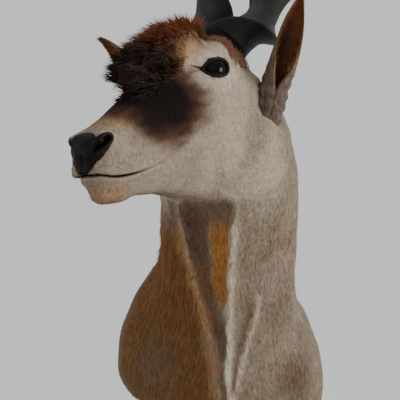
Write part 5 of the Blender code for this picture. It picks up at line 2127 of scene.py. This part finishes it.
# %% Thin the skin
SKIN_TRIANGLES = 185000
thin = skin.modifiers.new("thin", "DECIMATE")
thin.ratio = SKIN_TRIANGLES / len(SKIN_FACES)
apply_modifiers(skin)
forget(skin.data, *SKIN_NOTES)
shade_smooth(skin.data)
print("skin thinned to", len(triangles_of(skin.data)), "triangles")

# %% [markdown]
# The board behind the chest is the one solid that stays as it is: sawn plywood with its faces
# toward the wall. It only needs its material, with plies drawn as thin bands through its
# thickness.

# %% Back board
PLY = 0.0018
GLUE_LINE = 0.0004


def plywood():
    """Birch plywood: pale faces, darker glue lines between plies 1.8 mm thick."""
    made, tree, shader = new_material("birch_plywood", Roughness=0.72)
    grain = pattern(tree, 14.0, 5.0, (1.0, 1.0, 0.12), (0.3, 0.7))
    place = add_node(tree, "ShaderNodeTexCoord").outputs["Object"]
    depth = add_node(tree, "ShaderNodeSeparateXYZ", {}, {"Vector": place}).outputs["Y"]
    ply = add_node(tree, MATHS, {"operation": "PINGPONG"}, {0: depth, 1: PLY}).outputs[0]
    inputs = {"Value": ply, "From Max": GLUE_LINE, "To Min": 0.55, "To Max": 0.0}
    line = add_node(tree, RANGE, {}, inputs).outputs["Result"]
    colour = add_node(tree, MIX, PLAIN, {0: grain, 6: "#a98a5f", 7: "#c2a679"}).outputs[2]
    colour = add_node(tree, MIX, PLAIN, {0: line, 6: colour, 7: "#6d5232"}).outputs[2]
    ribs = add_node(tree, BUMP, {}, {"Height": grain, "Distance": 0.0003, "Strength": 0.4})
    feed(tree, shader, {"Base Color": colour, "Normal": ribs.outputs["Normal"]})
    return made


BOARD = plywood()
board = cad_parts["back_board"]
board.data.materials.clear()
board.data.materials.append(BOARD)
print("board dressed")

# %% [markdown]
# A gallery wall in daylight is soft light from the front with more of it from one side. The key
# here is a broad lamp to the right of the lens, a weaker one fills from the left, and the pale
# world does the rest. Broad lamps were chosen because the photo's shadows have no hard edge.

# %% Floor and light
FLOOR_HEIGHT = -1.25
FLOOR_HALF = 4.0
LAMPS = (
    ("key", (2.3, -1.3, 0.2), 1.2, 50.0, "#fff4e6"),
    ("fill", (-2.2, -1.9, 0.0), 1.8, 12.0, "#ffe9d2"),
    ("top", (0.2, -0.6, 2.2), 1.6, 4.0, "#ffffff"),
)
WORLD_COLOUR = "#d9dadb"
WORLD_STRENGTH = 1.10
AIM = Vector((-0.05, -0.45, 0.1))


def floor_material():
    """Pale matt screed, faintly mottled."""
    made, tree, shader = new_material("pale_screed", Roughness=0.9)
    tone = pattern(tree, 220.0, 3.0)
    colour = add_node(tree, MIX, PLAIN, {0: tone, 6: "#b9b5ae", 7: "#c9c6c0"}).outputs[2]
    feed(tree, shader, {"Base Color": colour})
    return made


bm = bmesh.new()
bmesh.ops.create_grid(bm, x_segments=4, y_segments=4, size=FLOOR_HALF)
bm.transform(Matrix.Translation((0.0, -1.0, FLOOR_HEIGHT)))
floor = add_object("floor", mesh_of("floor", bm))
floor.data.materials.append(floor_material())
floor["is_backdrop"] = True

for name, place, size, power, colour in LAMPS:
    lamp = bpy.data.lights.new(name, "AREA")
    lamp.shape = "DISK"
    lamp.size = size
    lamp.energy = power
    lamp.color = linear(colour)[:3]
    holder = bpy.data.objects.new(name, lamp)
    holder.location = place
    holder.rotation_euler = (AIM - Vector(place)).to_track_quat("-Z", "Y").to_euler()
    bpy.context.scene.collection.objects.link(holder)

world = bpy.data.worlds.new("pale_room")
world.use_nodes = True
sky = world.node_tree.nodes["Background"]
sky.inputs["Color"].default_value = linear(WORLD_COLOUR)
sky.inputs["Strength"].default_value = WORLD_STRENGTH
bpy.context.scene.world = world
print("lamps:", [row[0] for row in LAMPS])

# %% [markdown]
# Last, every piece is tied to the frame's one body, and the solids that the pieces stand for are
# hidden. The sizes of the solids and of the dressed model are kept side by side.

# %% Tie the pieces to the frame
for name, piece in [("skin", skin)] + list(PIECES.items()) + [("coat", p) for p in COAT]:
    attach(piece, "root")
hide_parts("head", "neck", "chest")
for _, word in SIDES:
    for part in ("eye", "horn", "ear"):
        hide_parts(f"{part}_{word}")

sizes = {"cad": CAD_BOX, "visual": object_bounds()}
